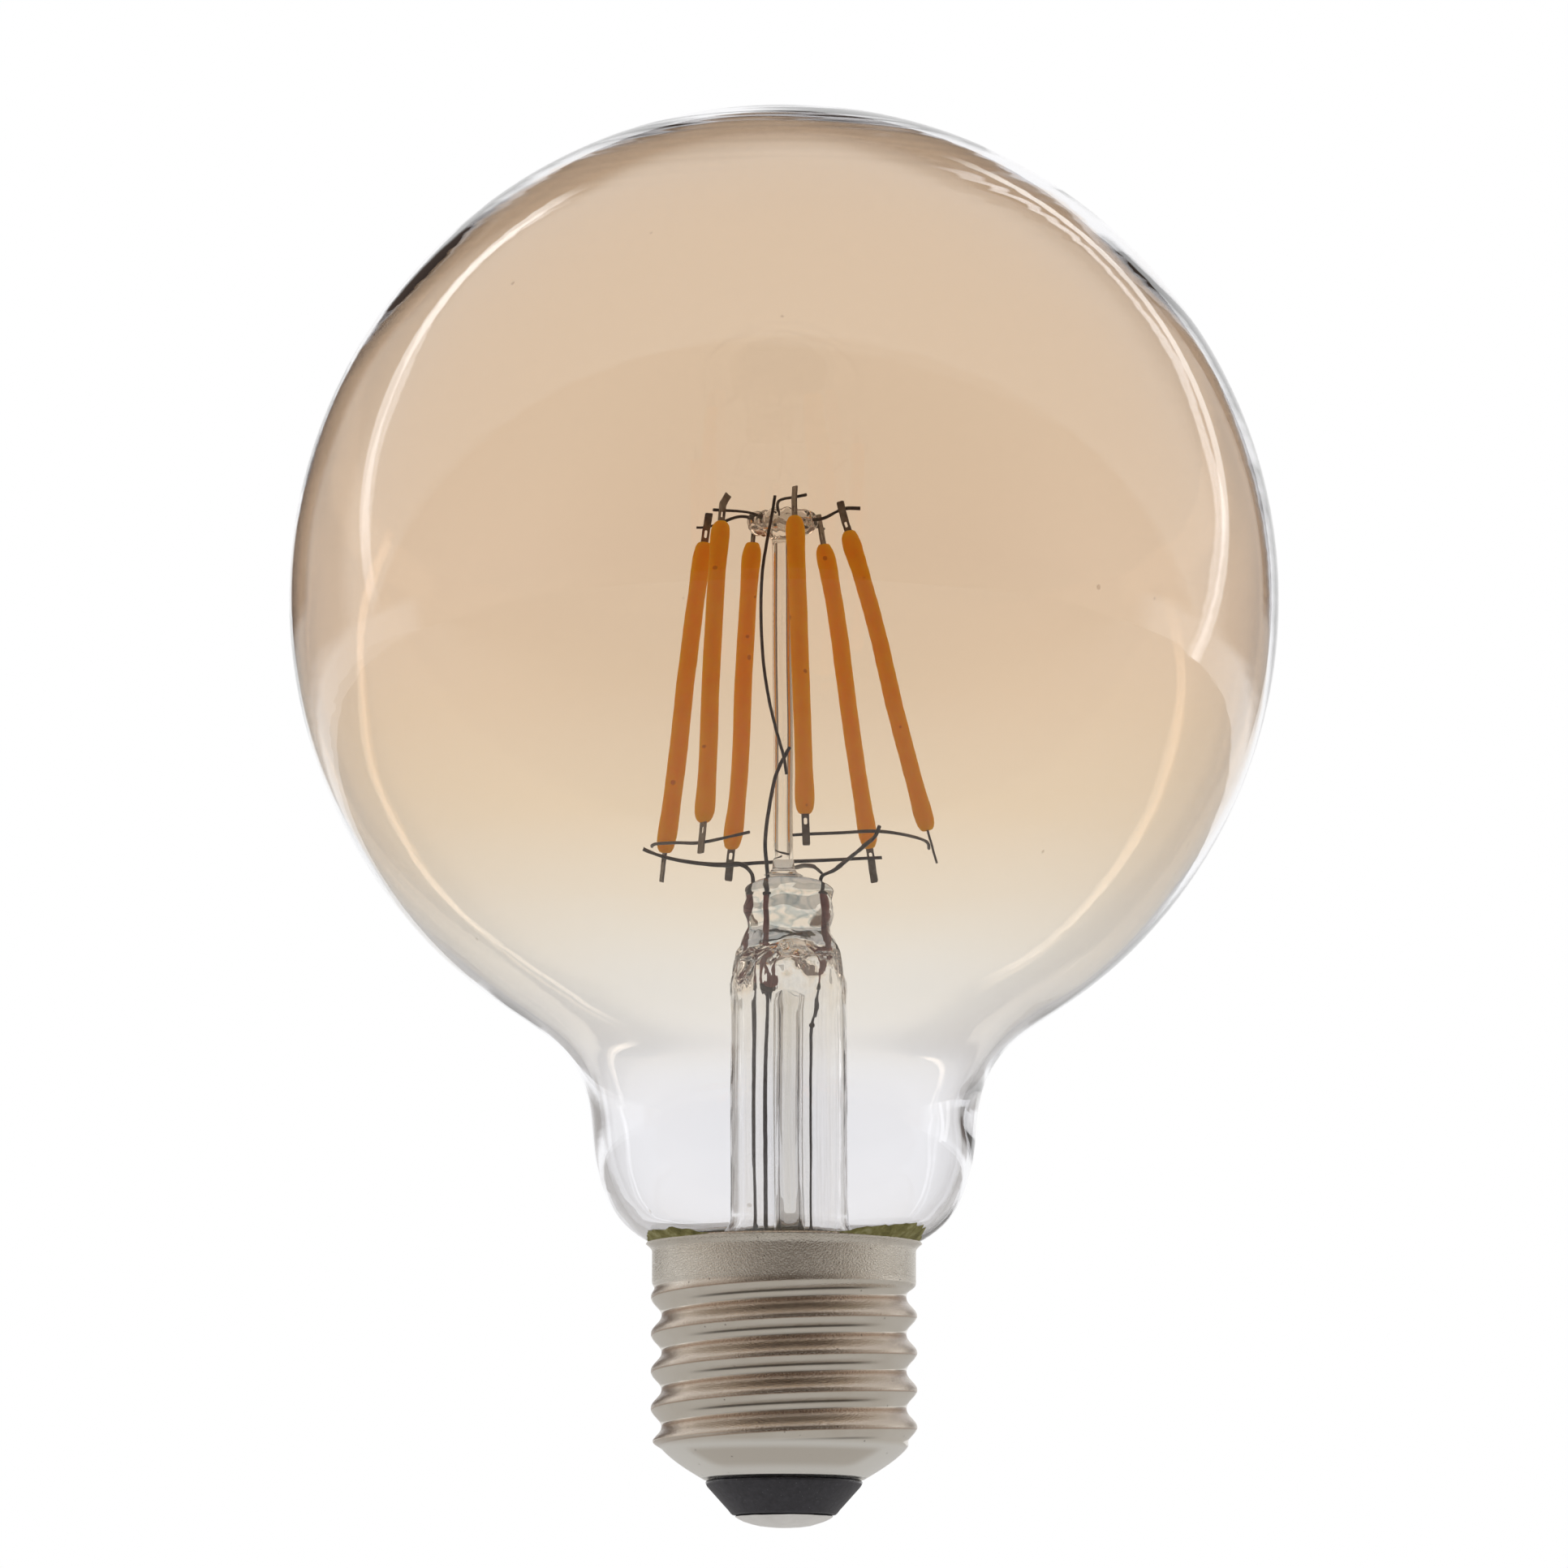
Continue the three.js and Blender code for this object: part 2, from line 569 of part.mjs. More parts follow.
for (const filament of filaments) {
  const cage = new THREE.Group();
  cage.position.copy(filament.footPoint);
  cage.quaternion.copy(facing(filament.along, filament.foot));
  lamp.add(cage);
  const inverse = cage.quaternion.clone().invert();
  const footTurn = inverse.clone().multiply(facing(filament.along, filament.footFace));
  const headTurn = inverse.clone().multiply(facing(filament.along, filament.headFace));
  const turnAngle = (turn) => 2 * Math.atan2(turn.z, turn.w);

  const coat = phosphorBody(turnAngle(footTurn), turnAngle(headTurn));
  add(`filament_${filament.name}_phosphor`, coat, phosphor, cage);

  const carrierLength = PHOSPHOR_LENGTH - 2 * TAB_ROOT - FIT_GAP;
  const carrier = new THREE.BoxGeometry(SUBSTRATE_WIDTH, SUBSTRATE_THICKNESS, carrierLength);
  carrier.translate(0, 0, PHOSPHOR_LENGTH / 2);
  add(`filament_${filament.name}_carrier`, carrier, ceramic, cage);

  const footTab = add(`filament_${filament.name}_foot_tab`, endTab(0), tabMetal, cage);
  footTab.quaternion.copy(footTurn).multiply(
    new THREE.Quaternion().setFromAxisAngle(new THREE.Vector3(0, 1, 0), Math.PI));
  const headTab = add(`filament_${filament.name}_head_tab`, endTab(filament.lean), tabMetal, cage);
  headTab.quaternion.copy(headTurn);
  headTab.position.z = PHOSPHOR_LENGTH;
}

// Where a wire is welded on a tab's flat side, some way out from the phosphor's end.
function footWeld(filament, reach) {
  const side = TAB_THICKNESS / 2 + WIRE_RADIUS + WELD_GAP;
  return filament.footPoint.clone()
    .addScaledVector(filament.along, -reach)
    .addScaledVector(faceNormal(filament.footFace), -side);
}

function headWeld(filament) {
  const side = TAB_THICKNESS / 2 + WIRE_RADIUS + WELD_GAP;
  return filament.headPoint.clone()
    .addScaledVector(filament.along, filament.reach)
    .addScaledVector(faceNormal(filament.headFace), -side);
}

// ---------------------------------------------- glass rod and its hook wires

function hookPoints(filament) {
  const weld = headWeld(filament);
  const outward = weld.clone().sub(filament.exit).setZ(0).normalize();
  const seat = filament.exit.clone().multiplyScalar(0.52).setZ(buttonZ + 0.1);
  const tip = weld.clone().addScaledVector(outward, filament.past);
  return [seat, filament.exit, weld, tip].map((point) => point.toArray());
}

const buttonHalf = BUTTON_THICKNESS / 2;
let rodBody = solid(turned([
  [0, PRESS_TOP_Z - ROD_SOCKET_DEPTH + SEAL_GAP],
  [ROD_RADIUS, PRESS_TOP_Z - ROD_SOCKET_DEPTH + SEAL_GAP],
  [ROD_RADIUS, buttonZ - buttonHalf - 0.6],
  [1.5 * ROD_RADIUS, buttonZ - buttonHalf],
  ...arc([BUTTON_RADIUS - buttonHalf, buttonZ], buttonHalf, -70 * degrees, 70 * degrees, 4),
  [0.35 * BUTTON_RADIUS, buttonZ + 0.8 * buttonHalf],
  [0, buttonZ + 0.7 * buttonHalf],
], 16));

for (const filament of filaments) {
  rodBody = rodBody.subtract(solid(wire(hookPoints(filament), WIRE_RADIUS + SEAL_GAP, 8)));
}

add('glass_rod', geometryOf(rodBody), clearGlass);

for (const filament of filaments) {
  const [seat, exit, weld, tip] = hookPoints(filament);
  const start = new THREE.Vector3(...seat).lerp(new THREE.Vector3(...exit), SEAL_GAP).toArray();
  add(`hook_${filament.name}`, wire([start, exit, weld, tip], WIRE_RADIUS, 10), nickelWire);
}

// ------------------------------------------------------------ foot supports

const footRing = (azimuth, z, inset = 0) => ringPoint(
  FOOT_CENTRE_X, FOOT_RING_RADIUS - inset, azimuth, z).toArray();

// Left lead: out of the press, across to the left filament's tab.
const leftWeldY = left.footPoint.y - TAB_WIDTH / 2 - LEAD_RADIUS - 2 * WELD_GAP;
const leftLeadEnd = [left.footPoint.x - 2.2, leftWeldY - 0.1, left.footPoint.z + 0.3];

add('lead_left_inner', wire([
  [LEAD_LEFT_X, 0, PRESS_TOP_Z - 1.6],
  [LEAD_LEFT_X, 0, PRESS_TOP_Z + 0.2],
  [LEAD_LEFT_X - 1, 0.1, PRESS_TOP_Z + 1.15],
  [LEAD_LEFT_X - 2.4, 0.2, PRESS_TOP_Z + 1.1],
  [LEAD_LEFT_X - 5, 0.5, PRESS_TOP_Z + 1.3],
  [left.footPoint.x + 0.1, leftWeldY, left.footPoint.z - 0.6],
  leftLeadEnd,
], LEAD_RADIUS, 18), nickelWire);

// Front-left support: from above the left lead's end round to the front-left tab.
const frontLeftWeld = footWeld(frontLeft, 2);
add('support_front_left', wire([
  [leftLeadEnd[0] + 0.9, leftLeadEnd[1] + 0.7, leftLeadEnd[2] + 0.35],
  [leftLeadEnd[0] + 1.1, leftLeadEnd[1] - 0.6, leftLeadEnd[2] + 0.35],
  footRing(-158, FOOT_Z - 1.4, 0.2),
  frontLeftWeld.toArray(),
  [frontLeftWeld.x + 4.3, frontLeftWeld.y - 2.6, FOOT_Z - 1.4],
], WIRE_RADIUS, 14), nickelWire);

// Front-right support: from the front tab round to the right tab.
const frontWeld = footWeld(front, 2);
const rightWeld = footWeld(right, 1.6);
add('support_front_right', wire([
  [frontWeld.x - 1.3, frontWeld.y + 0.05, frontWeld.z - 0.1],
  frontWeld.toArray(),
  footRing(-72, FOOT_Z - 1.5, 0.35),
  footRing(-54, FOOT_Z - 1.1, 0.2),
  footRing(-33, FOOT_Z - 1.1, 0.1),
  [rightWeld.x - 0.2, rightWeld.y - 1.8, FOOT_Z - 1.3],
  [rightWeld.x, rightWeld.y + 0.5, rightWeld.z],
], WIRE_RADIUS, 18), nickelWire);

// Back support: straight across the two back tabs.
const backLeftWeld = footWeld(backLeft, 1.6);
const backRightWeld = footWeld(backRight, 1);
add('support_back', wire([
  [backLeftWeld.x - 0.6, backLeftWeld.y - 0.05, backLeftWeld.z],
  backLeftWeld.toArray(),
  backRightWeld.toArray(),
  [backRightWeld.x + 1.1, backRightWeld.y - 0.05, backRightWeld.z + 0.05],
], WIRE_RADIUS, 10), nickelWire);

// Right lead: out of the press, under the front-right support and up past it.
const crossing = new THREE.Vector3(...footRing(-54, FOOT_Z - 1.1, 0.2));
add('lead_right_inner', wire([
  [LEAD_RIGHT_X, 0, PRESS_TOP_Z - 1.6],
  [LEAD_RIGHT_X + 0.05, 0, PRESS_TOP_Z],
  [LEAD_RIGHT_X + 0.9, -1.1, PRESS_TOP_Z + 0.25],
  [LEAD_RIGHT_X + 2.4, -3.8, PRESS_TOP_Z + 0.9],
  [crossing.x - 1.1, crossing.y + 2, crossing.z - 1.2],
  [crossing.x, crossing.y, crossing.z - 0.55],
  [crossing.x + 0.4, crossing.y - 0.65, crossing.z + 0.4],
], LEAD_RADIUS, 18), nickelWire);

// Branch of the right lead to the middle of the back support.
const backMiddle = backLeftWeld.clone().lerp(backRightWeld, 0.45);
add('lead_right_branch', wire([
  [LEAD_RIGHT_X + 0.15, 0.6, PRESS_TOP_Z + 0.4],
  [LEAD_RIGHT_X - 0.4, 2, PRESS_TOP_Z + 1.1],
  [LEAD_RIGHT_X - 1.4, 5, PRESS_TOP_Z + 1.6],
  [backMiddle.x + 0.3, backMiddle.y - 1.2, backMiddle.z - 0.6],
  [backMiddle.x, backMiddle.y + 0.5, backMiddle.z - 0.45],
], WIRE_RADIUS, 12), nickelWire);

// Centre lead and the riser that is welded across it, up to the front hook.
const crossZ = PRESS_TOP_Z + 11.8;
const leadFrontY = -ROD_RADIUS - LEAD_RADIUS - FIT_GAP - 0.1;
const riserY = leadFrontY - LEAD_RADIUS - WIRE_RADIUS - WELD_GAP;
add('lead_centre_inner', wire([
  [LEAD_CENTRE_X, 0, PRESS_TOP_Z - 1.6],
  [LEAD_CENTRE_X, -0.1, PRESS_TOP_Z + 0.3],
  [LEAD_CENTRE_X - 0.25, -0.6, PRESS_TOP_Z + 2.8],
  [LEAD_CENTRE_X + 0.25, -1.3, PRESS_TOP_Z + 7.3],
  [-0.6, leadFrontY, crossZ - 1.3],
  [0.1, leadFrontY, crossZ],
  [0.6, leadFrontY, crossZ + 1.1],
], LEAD_RADIUS, 14), nickelWire);

const hookExit = front.exit;
const riserTopY = hookExit.y - 2 * WIRE_RADIUS - WELD_GAP;
add('centre_riser', wire([
  [0.3, riserY, crossZ - 1.9],
  [0.05, riserY, crossZ - 0.1],
  [-0.95, riserY - 0.15, crossZ + 3.6],
  [-1.8, riserY - 0.5, crossZ + 8.5],
  [-2.1, riserY - 0.9, crossZ + 14],
  [-1.9, riserY - 1.5, crossZ + 18.8],
  [hookExit.x - 0.6, riserTopY + 0.05, hookExit.z - 1.5],
  [hookExit.x - 0.3, riserTopY, hookExit.z + 0.6],
], WIRE_RADIUS, 20), nickelWire);

// ------------------------------------------------- seals and outer lead wires

const dumetTopZ = PRESS_TOP_Z - 1.6 - SEAL_GAP;
const dumetBottomZ = cavityRoofZ - 0.4;
const leadPlans = [
  { name: 'left', x: LEAD_LEFT_X, kink: [], low: -2.95, boardX: -3.8 },
  { name: 'centre', x: LEAD_CENTRE_X, kink: [], low: -1.75, boardX: -1.3 },
  {
    name: 'right',
    x: LEAD_RIGHT_X,
    kink: [[LEAD_RIGHT_X - 0.5, 0, -1.2], [LEAD_RIGHT_X - 0.1, 0, -2.3], [2.75, -0.1, -3.2]],
    low: 2.65,
    boardX: 3.8,
  },
];

const boardTopZ = EXHAUST_TIP_Z + 2.8;
for (const plan of leadPlans) {
  add(`lead_${plan.name}_seal`,
    cylinder(DUMET_RADIUS, dumetBottomZ, dumetTopZ, plan.x, 0, 8), dumetWire);
  const kinks = plan.kink.map(([x, y, fall]) => [x, y, dumetBottomZ + fall]);
  add(`lead_${plan.name}_outer`, wire([
    [plan.x, 0, dumetBottomZ - SEAL_GAP],
    ...kinks,
    [plan.low, -0.05, dumetBottomZ - 6],
    [plan.low, 0.1, flareZ + 8],
    [plan.low, 0.7, flareZ - 1.5],
    [plan.boardX, BOARD_FRONT_Y - 0.4, boardTopZ + 1.6],
    [plan.boardX, BOARD_FRONT_Y + BOARD_THICKNESS / 2, boardTopZ + SEAL_GAP],
  ], LEAD_RADIUS, 16), leadWire);
}

// ----------------------------------------------------- driver inside the cap

const driverBottomZ = insulatorTopZ + 1;
const boardHeight = boardTopZ - driverBottomZ;
const boardBackY = BOARD_FRONT_Y + BOARD_THICKNESS;

add('driver_board', block([-BOARD_WIDTH / 2, BOARD_FRONT_Y, driverBottomZ],
  [BOARD_WIDTH, BOARD_THICKNESS, boardHeight]), boardLaminate);

add('bridge_rectifier', block([-8, boardBackY + SEAL_GAP, driverBottomZ + 1.5],
  [4.7, 1.5, 3.9]), chipBlack);

add('controller_chip', block([3.2, boardBackY + SEAL_GAP, driverBottomZ + 1.5],
  [4.9, 1.4, 3.9]), chipBlack);

const capacitorRadius = 3.1;
const capacitorY = BOARD_FRONT_Y - capacitorRadius - FIT_GAP;
add('smoothing_capacitor', turned([
  [0, driverBottomZ],
  [capacitorRadius - 0.3, driverBottomZ],
  [capacitorRadius, driverBottomZ + 0.3],
  [capacitorRadius, driverBottomZ + 8.6],
  [capacitorRadius - 0.4, driverBottomZ + 9],
  [0, driverBottomZ + 9],
], 16).translate(-6, capacitorY, 0), capacitorSleeve);

const chokeRadius = 2.6;
const chokeY = BOARD_FRONT_Y - chokeRadius - FIT_GAP;
add('filter_choke', turned([
  [0, driverBottomZ],
  [chokeRadius, driverBottomZ],
  [chokeRadius, driverBottomZ + 1],
  [chokeRadius - 0.5, driverBottomZ + 1],
  [chokeRadius - 0.5, driverBottomZ + 5.5],
  [chokeRadius, driverBottomZ + 5.5],
  [chokeRadius, driverBottomZ + 6.5],
  [0, driverBottomZ + 6.5],
], 16).translate(6.2, chokeY, 0), ferrite);

// Radio module: a small board with a screening can, stood off on a pin block.
const radioZ = driverBottomZ + 6.2;
add('radio_module', geometryOf(
  solid(block([-5, boardBackY + 2.2, radioZ], [10, 0.8, 7]))
    .add(solid(block([-3.2, boardBackY + 2.9, radioZ + 1], [6.4, 1.5, 5])))
    .add(solid(block([-4, boardBackY + SEAL_GAP, radioZ + 0.3], [8, 2.2, 1.5])))), boardLaminate);

// Fusible resistor in the live side: its own leads reach the contact and the board.
const resistorY = -1.6;
const resistorZ = driverBottomZ + 1.9;
add('fusible_resistor', geometryOf(
  solid(turned([
    [0, resistorZ],
    [1, resistorZ],
    [1.2, resistorZ + 0.4],
    [1.2, resistorZ + 4.6],
    [1, resistorZ + 5],
    [0, resistorZ + 5],
  ], SIDES_SMALL).translate(0, resistorY, 0))
    .add(solid(wire([
      [0, 0, insulatorTopZ - 1.5],
      [0, 0, insulatorTopZ + 0.4],
      [0, resistorY, resistorZ - 0.7],
      [0, resistorY, resistorZ + 0.5],
    ], 0.3, 8)))
    .add(solid(wire([
      [0, resistorY, resistorZ + 4.5],
      [0, resistorY + 0.1, resistorZ + 5.6],
      [0, resistorY + 2.6, resistorZ + 6],
      [0, BOARD_FRONT_Y - SEAL_GAP, resistorZ + 6],
    ], 0.3, 8)))), resistorBody);

// Neutral wire from the board's edge to the bare inside of the shell.
add('neutral_wire', wire([
  [BOARD_WIDTH / 2 - 1.5, BOARD_FRONT_Y - 0.6, driverBottomZ + 10],
  [BOARD_WIDTH / 2 - 0.8, BOARD_FRONT_Y - 2, driverBottomZ + 10.4],
  [shellBoreRadius - 1.6, -1, driverBottomZ + 11],
  [shellBoreRadius - 0.8, -1.8, driverBottomZ + 9.5],
], 0.4, 10), wireSleeve);

export default lamp;
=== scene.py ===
import math

import bmesh
import bpy
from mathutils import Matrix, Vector, noise


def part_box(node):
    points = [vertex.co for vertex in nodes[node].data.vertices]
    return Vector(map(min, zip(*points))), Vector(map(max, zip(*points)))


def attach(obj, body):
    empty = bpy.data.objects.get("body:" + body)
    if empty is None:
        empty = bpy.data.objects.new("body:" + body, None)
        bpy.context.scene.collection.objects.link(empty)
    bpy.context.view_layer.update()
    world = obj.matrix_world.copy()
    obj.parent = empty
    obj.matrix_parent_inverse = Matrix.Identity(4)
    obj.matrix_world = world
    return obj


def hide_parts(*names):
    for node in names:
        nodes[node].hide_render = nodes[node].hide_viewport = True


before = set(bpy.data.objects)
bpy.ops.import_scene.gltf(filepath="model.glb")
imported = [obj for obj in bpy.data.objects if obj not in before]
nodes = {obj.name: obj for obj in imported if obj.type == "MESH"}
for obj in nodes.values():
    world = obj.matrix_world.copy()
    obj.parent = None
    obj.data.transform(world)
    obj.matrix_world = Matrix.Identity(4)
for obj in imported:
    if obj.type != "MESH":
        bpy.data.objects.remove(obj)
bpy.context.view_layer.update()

# ---------------------------------------------------------------- glass envelope
# The outer bulb is one blown piece of soda-lime glass: globe, neck and the tail that sits in
# the cap. Its wall is uneven, and thinner on one side. The amber tint is fired on to the
# inside of the globe, and fades out in the neck.
MM = 0.001
DEGREES = math.pi / 180
NECK_RADIUS = 18.9
NECK_FILLET = 9.3
SHOULDER_RADIUS = 10.3
SHOULDER_CENTRE_Z = 37.1
NECK_LOW_Z = 30
NECK_HIGH_Z = 57
NECK_SMOOTHING = 24
TAIL_RADIUS = 11.35
WALL_AT_SIDE = 0.55
WALL_GAIN_UP = 0.4
WALL_GAIN_DOWN = 0.55
WALL_SHIFT = 0.3
WALL_UNEVENNESS = 0.09
WAVE_SIZE = 13
PLAIN_TAIL = 2
DENT_DEPTH = 0.32
DENT_Z = 40.5
DENT_HALF_HEIGHT = 2.6
DENT_HALF_TURN = 0.5
TINT_TOP_Z = 118
TINT_BOTTOM_Z = 40
ENVELOPE_STEPS = 144

envelope_low, envelope_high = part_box("glass_envelope")
globe_radius = (envelope_high.x - envelope_low.x) / 2 / MM
globe_centre_z = envelope_high.z / MM - globe_radius
tail_bottom_z = envelope_low.z / MM


def arc(centre, radius, start, end, steps):
    """Points on a round stretch of a profile, both ends included."""
    angles = [start + (end - start) * i / steps for i in range(steps + 1)]
    return [(centre[0] + radius * math.cos(a), centre[1] + radius * math.sin(a)) for a in angles]


def spun(profile, steps, centre_x=0.0):
    """A profile of (radius, height) points in millimetres, spun a full turn about an upright axis."""
    bm = bmesh.new()
    verts = [bm.verts.new((radius * MM, 0, height * MM)) for radius, height in profile]
    edges = [bm.edges.new(pair) for pair in zip(verts, verts[1:])]
    bmesh.ops.spin(bm, geom=verts + edges, cent=(0, 0, 0), axis=(0, 0, 1),
                   angle=math.tau, steps=steps, use_merge=True)
    bmesh.ops.remove_doubles(bm, verts=bm.verts, dist=1e-4 * MM)
    bmesh.ops.translate(bm, verts=bm.verts, vec=(centre_x * MM, 0, 0))
    bmesh.ops.recalc_face_normals(bm, faces=bm.faces)
    return bm


def finished(name, bm, material, replaced, sharp=50):
    """Makes the bmesh a smooth-shaded piece that rides on the lamp and stands for CAD nodes."""
    mesh = bpy.data.meshes.new(name)
    for face in bm.faces:
        face.smooth = True
    bm.to_mesh(mesh)
    bm.free()
    mesh.set_sharp_from_angle(angle=sharp * DEGREES)
    mesh.materials.append(material)
    piece = bpy.data.objects.new(name, mesh)
    bpy.context.scene.collection.objects.link(piece)
    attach(piece, "root")
    if replaced:
        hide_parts(*replaced)
    return piece


class Finish:
    """A new material with its shader, and short ways to add and join nodes."""

    def __init__(self, name, **values):
        self.material = bpy.data.materials.new(name)
        self.material.use_nodes = True
        self.tree = self.material.node_tree
        self.shader = self.tree.nodes["Principled BSDF"]
        for word, value in values.items():
            socket = word.replace("_", " ").title().replace("Ior", "IOR")
            self.shader.inputs[socket].default_value = value
        self.place = self.node("ShaderNodeTexCoord").outputs["Object"]

    def node(self, kind, **settings):
        made = self.tree.nodes.new(kind)
        for key, value in settings.items():
            setattr(made, key, value)
        return made

    def join(self, output, target):
        self.tree.links.new(output, target)

    def scaled(self, x, y, z):
        """The place stretched along each axis."""
        made = self.node("ShaderNodeMapping")
        made.inputs["Scale"].default_value = (x, y, z)
        self.join(self.place, made.inputs["Vector"])
        return made.outputs["Vector"]

    def noise(self, scale, detail=3.0, roughness=0.5, where=None):
        """Noise whose features are about 1/scale metres across."""
        made = self.node("ShaderNodeTexNoise")
        made.inputs["Scale"].default_value = scale
        made.inputs["Detail"].default_value = detail
        made.inputs["Roughness"].default_value = roughness
        self.join(where or self.place, made.inputs["Vector"])
        return made.outputs["Fac"]

    def spots(self, scale, size):
        """1 in small round spots and 0 elsewhere."""
        made = self.node("ShaderNodeTexVoronoi")
        made.inputs["Scale"].default_value = scale
        self.join(self.place, made.inputs["Vector"])
        return self.between(made.outputs["Distance"], size, size * 0.6)

    def between(self, value, low, high, to_low=0.0, to_high=1.0):
        """Maps a value smoothly from one span to another."""
        made = self.node("ShaderNodeMapRange", interpolation_type="SMOOTHSTEP")
        for name, number in zip(("From Min", "From Max", "To Min", "To Max"), (low, high, to_low, to_high)):
            made.inputs[name].default_value = number
        self.join(value, made.inputs["Value"])
        return made.outputs["Result"]

    def along(self, axis):
        """The place along one axis, in metres."""
        made = self.node("ShaderNodeSeparateXYZ")
        self.join(self.place, made.inputs["Vector"])
        return made.outputs[axis]

    def maths(self, operation, a, b=0):
        made = self.node("ShaderNodeMath", operation=operation)
        for socket, value in zip(made.inputs, (a, b)):
            if isinstance(value, (int, float)):
                socket.default_value = value
            else:
                self.join(value, socket)
        return made.outputs["Value"]

    def ramp(self, value, *stops):
        """Colours at places along a value, each stop being (place, colour)."""
        made = self.node("ShaderNodeValToRGB")
        elements = made.color_ramp.elements
        while len(elements) < len(stops):
            elements.new(0.5)
        for element, (position, colour) in zip(elements, stops):
            element.position = position
            element.color = (*colour, 1)
        self.join(value, made.inputs["Fac"])
        return made.outputs["Color"]

    def mixed(self, share, a, b, blend="MIX"):
        """Colour a turned into colour b by a share."""
        made = self.node("ShaderNodeMix", data_type="RGBA", blend_type=blend)
        for socket, value in zip((made.inputs[0], made.inputs[6], made.inputs[7]), (share, a, b)):
            if isinstance(value, tuple):
                socket.default_value = (*value, 1)
            elif isinstance(value, float):
                socket.default_value = value
            else:
                self.join(value, socket)
        return made.outputs[2]

    def colour(self, output):
        self.join(output, self.shader.inputs["Base Color"])

    def roughness(self, value, low, high):
        """Roughness between two limits, following a value from 0 to 1."""
        self.join(self.between(value, 0.3, 0.7, low, high), self.shader.inputs["Roughness"])

    def bump(self, height, distance, strength=1.0):
        """Bump of a height from 0 to 1, over a distance in metres."""
        made = self.node("ShaderNodeBump")
        made.inputs["Strength"].default_value = strength
        made.inputs["Distance"].default_value = distance
        self.join(height, made.inputs["Height"])
        previous = self.shader.inputs["Normal"]
        if previous.links:
            self.join(previous.links[0].from_socket, made.inputs["Normal"])
        self.join(made.outputs["Normal"], previous)


def joined(outer, inner):
    """One hollow body from an outer and an inner surface, with their open rims closed."""
    bmesh.ops.reverse_faces(inner, faces=inner.faces)
    holder = bpy.data.meshes.new("inner_surface")
    inner.to_mesh(holder)
    inner.free()
    outer.from_mesh(holder)
    bpy.data.meshes.remove(holder)
    bmesh.ops.bridge_loops(outer, edges=[edge for edge in outer.edges if edge.is_boundary])
    bmesh.ops.recalc_face_normals(outer, faces=outer.faces)
    return outer


def evened(profile, step):
    """The same profile with its points spread evenly along it."""
    steps = [0.0]
    for (x0, z0), (x1, z1) in zip(profile, profile[1:]):
        steps.append(steps[-1] + math.hypot(x1 - x0, z1 - z0))
    count = round(steps[-1] / step)
    even = []
    piece = 0
    for i in range(count + 1):
        along = steps[-1] * i / count
        while piece < len(profile) - 2 and steps[piece + 1] < along:
            piece += 1
        share = (along - steps[piece]) / (steps[piece + 1] - steps[piece])
        (x0, z0), (x1, z1) = profile[piece], profile[piece + 1]
        even.append((x0 + (x1 - x0) * share, z0 + (z1 - z0) * share))
    return even


def envelope_profile(has_depth):
    """The wall's outer or inner surface: tail, shoulder, neck, fillet and globe."""
    fillet_x = NECK_RADIUS + NECK_FILLET
    fillet_z = globe_centre_z - math.sqrt((globe_radius + NECK_FILLET) ** 2 - fillet_x ** 2)
    join = math.atan2(fillet_z - globe_centre_z, fillet_x)

    def wall(angle):
        gain = WALL_GAIN_DOWN if angle < 0 else WALL_GAIN_UP
        return (WALL_AT_SIDE + gain * math.sin(angle) ** 2) * has_depth

    depth = wall(join)
    shoulder_x = NECK_RADIUS - SHOULDER_RADIUS
    shoulder = SHOULDER_RADIUS - depth
    tail_angle = -math.acos((TAIL_RADIUS - depth - shoulder_x) / shoulder)
    profile = [(TAIL_RADIUS - depth, tail_bottom_z)]
    profile += arc((shoulder_x, SHOULDER_CENTRE_Z), shoulder, tail_angle, 0, 20)
    profile += arc((fillet_x, fillet_z), NECK_FILLET + depth, math.pi, join + math.pi, 14)
    steps = 62
    for i in range(1, steps + 1):
        angle = join + (math.pi / 2 - join) * i / steps
        radius = globe_radius - wall(angle)
        profile.append((radius * math.cos(angle), globe_centre_z + radius * math.sin(angle)))
    profile = evened(profile, 0.8)
    for i in range(NECK_SMOOTHING):
        low, high = NECK_LOW_Z + 0.15 * i, NECK_HIGH_Z - 0.3 * i
        profile = [b if not low < b[1] < high else
                   ((a[0] + 2 * b[0] + c[0]) / 4, (a[1] + 2 * b[1] + c[1]) / 4)
                   for a, b, c in zip(profile[:1] + profile, profile, profile[1:] + profile[-1:])]
    profile[-1] = (0, profile[-1][1])
    return profile


envelope = spun(envelope_profile(0), ENVELOPE_STEPS)
lining = spun(envelope_profile(1), ENVELOPE_STEPS)
for vert in lining.verts:
    height = vert.co.z / MM
    globe_share = min(1.0, max(0.0, (height - 45) / 25))
    turn = math.atan2(vert.co.y, vert.co.x)
    wave = noise.noise(vert.co / (WAVE_SIZE * MM)) * WALL_UNEVENNESS
    dent = DENT_DEPTH * math.exp(-(turn / DENT_HALF_TURN) ** 2 - ((height - DENT_Z) / DENT_HALF_HEIGHT) ** 2)
    if height > tail_bottom_z + PLAIN_TAIL:
        vert.co -= vert.normal * (wave + dent) * MM
    vert.co.x -= WALL_SHIFT * globe_share * MM
for face in lining.faces:
    face.material_index = 1
joined(envelope, lining)

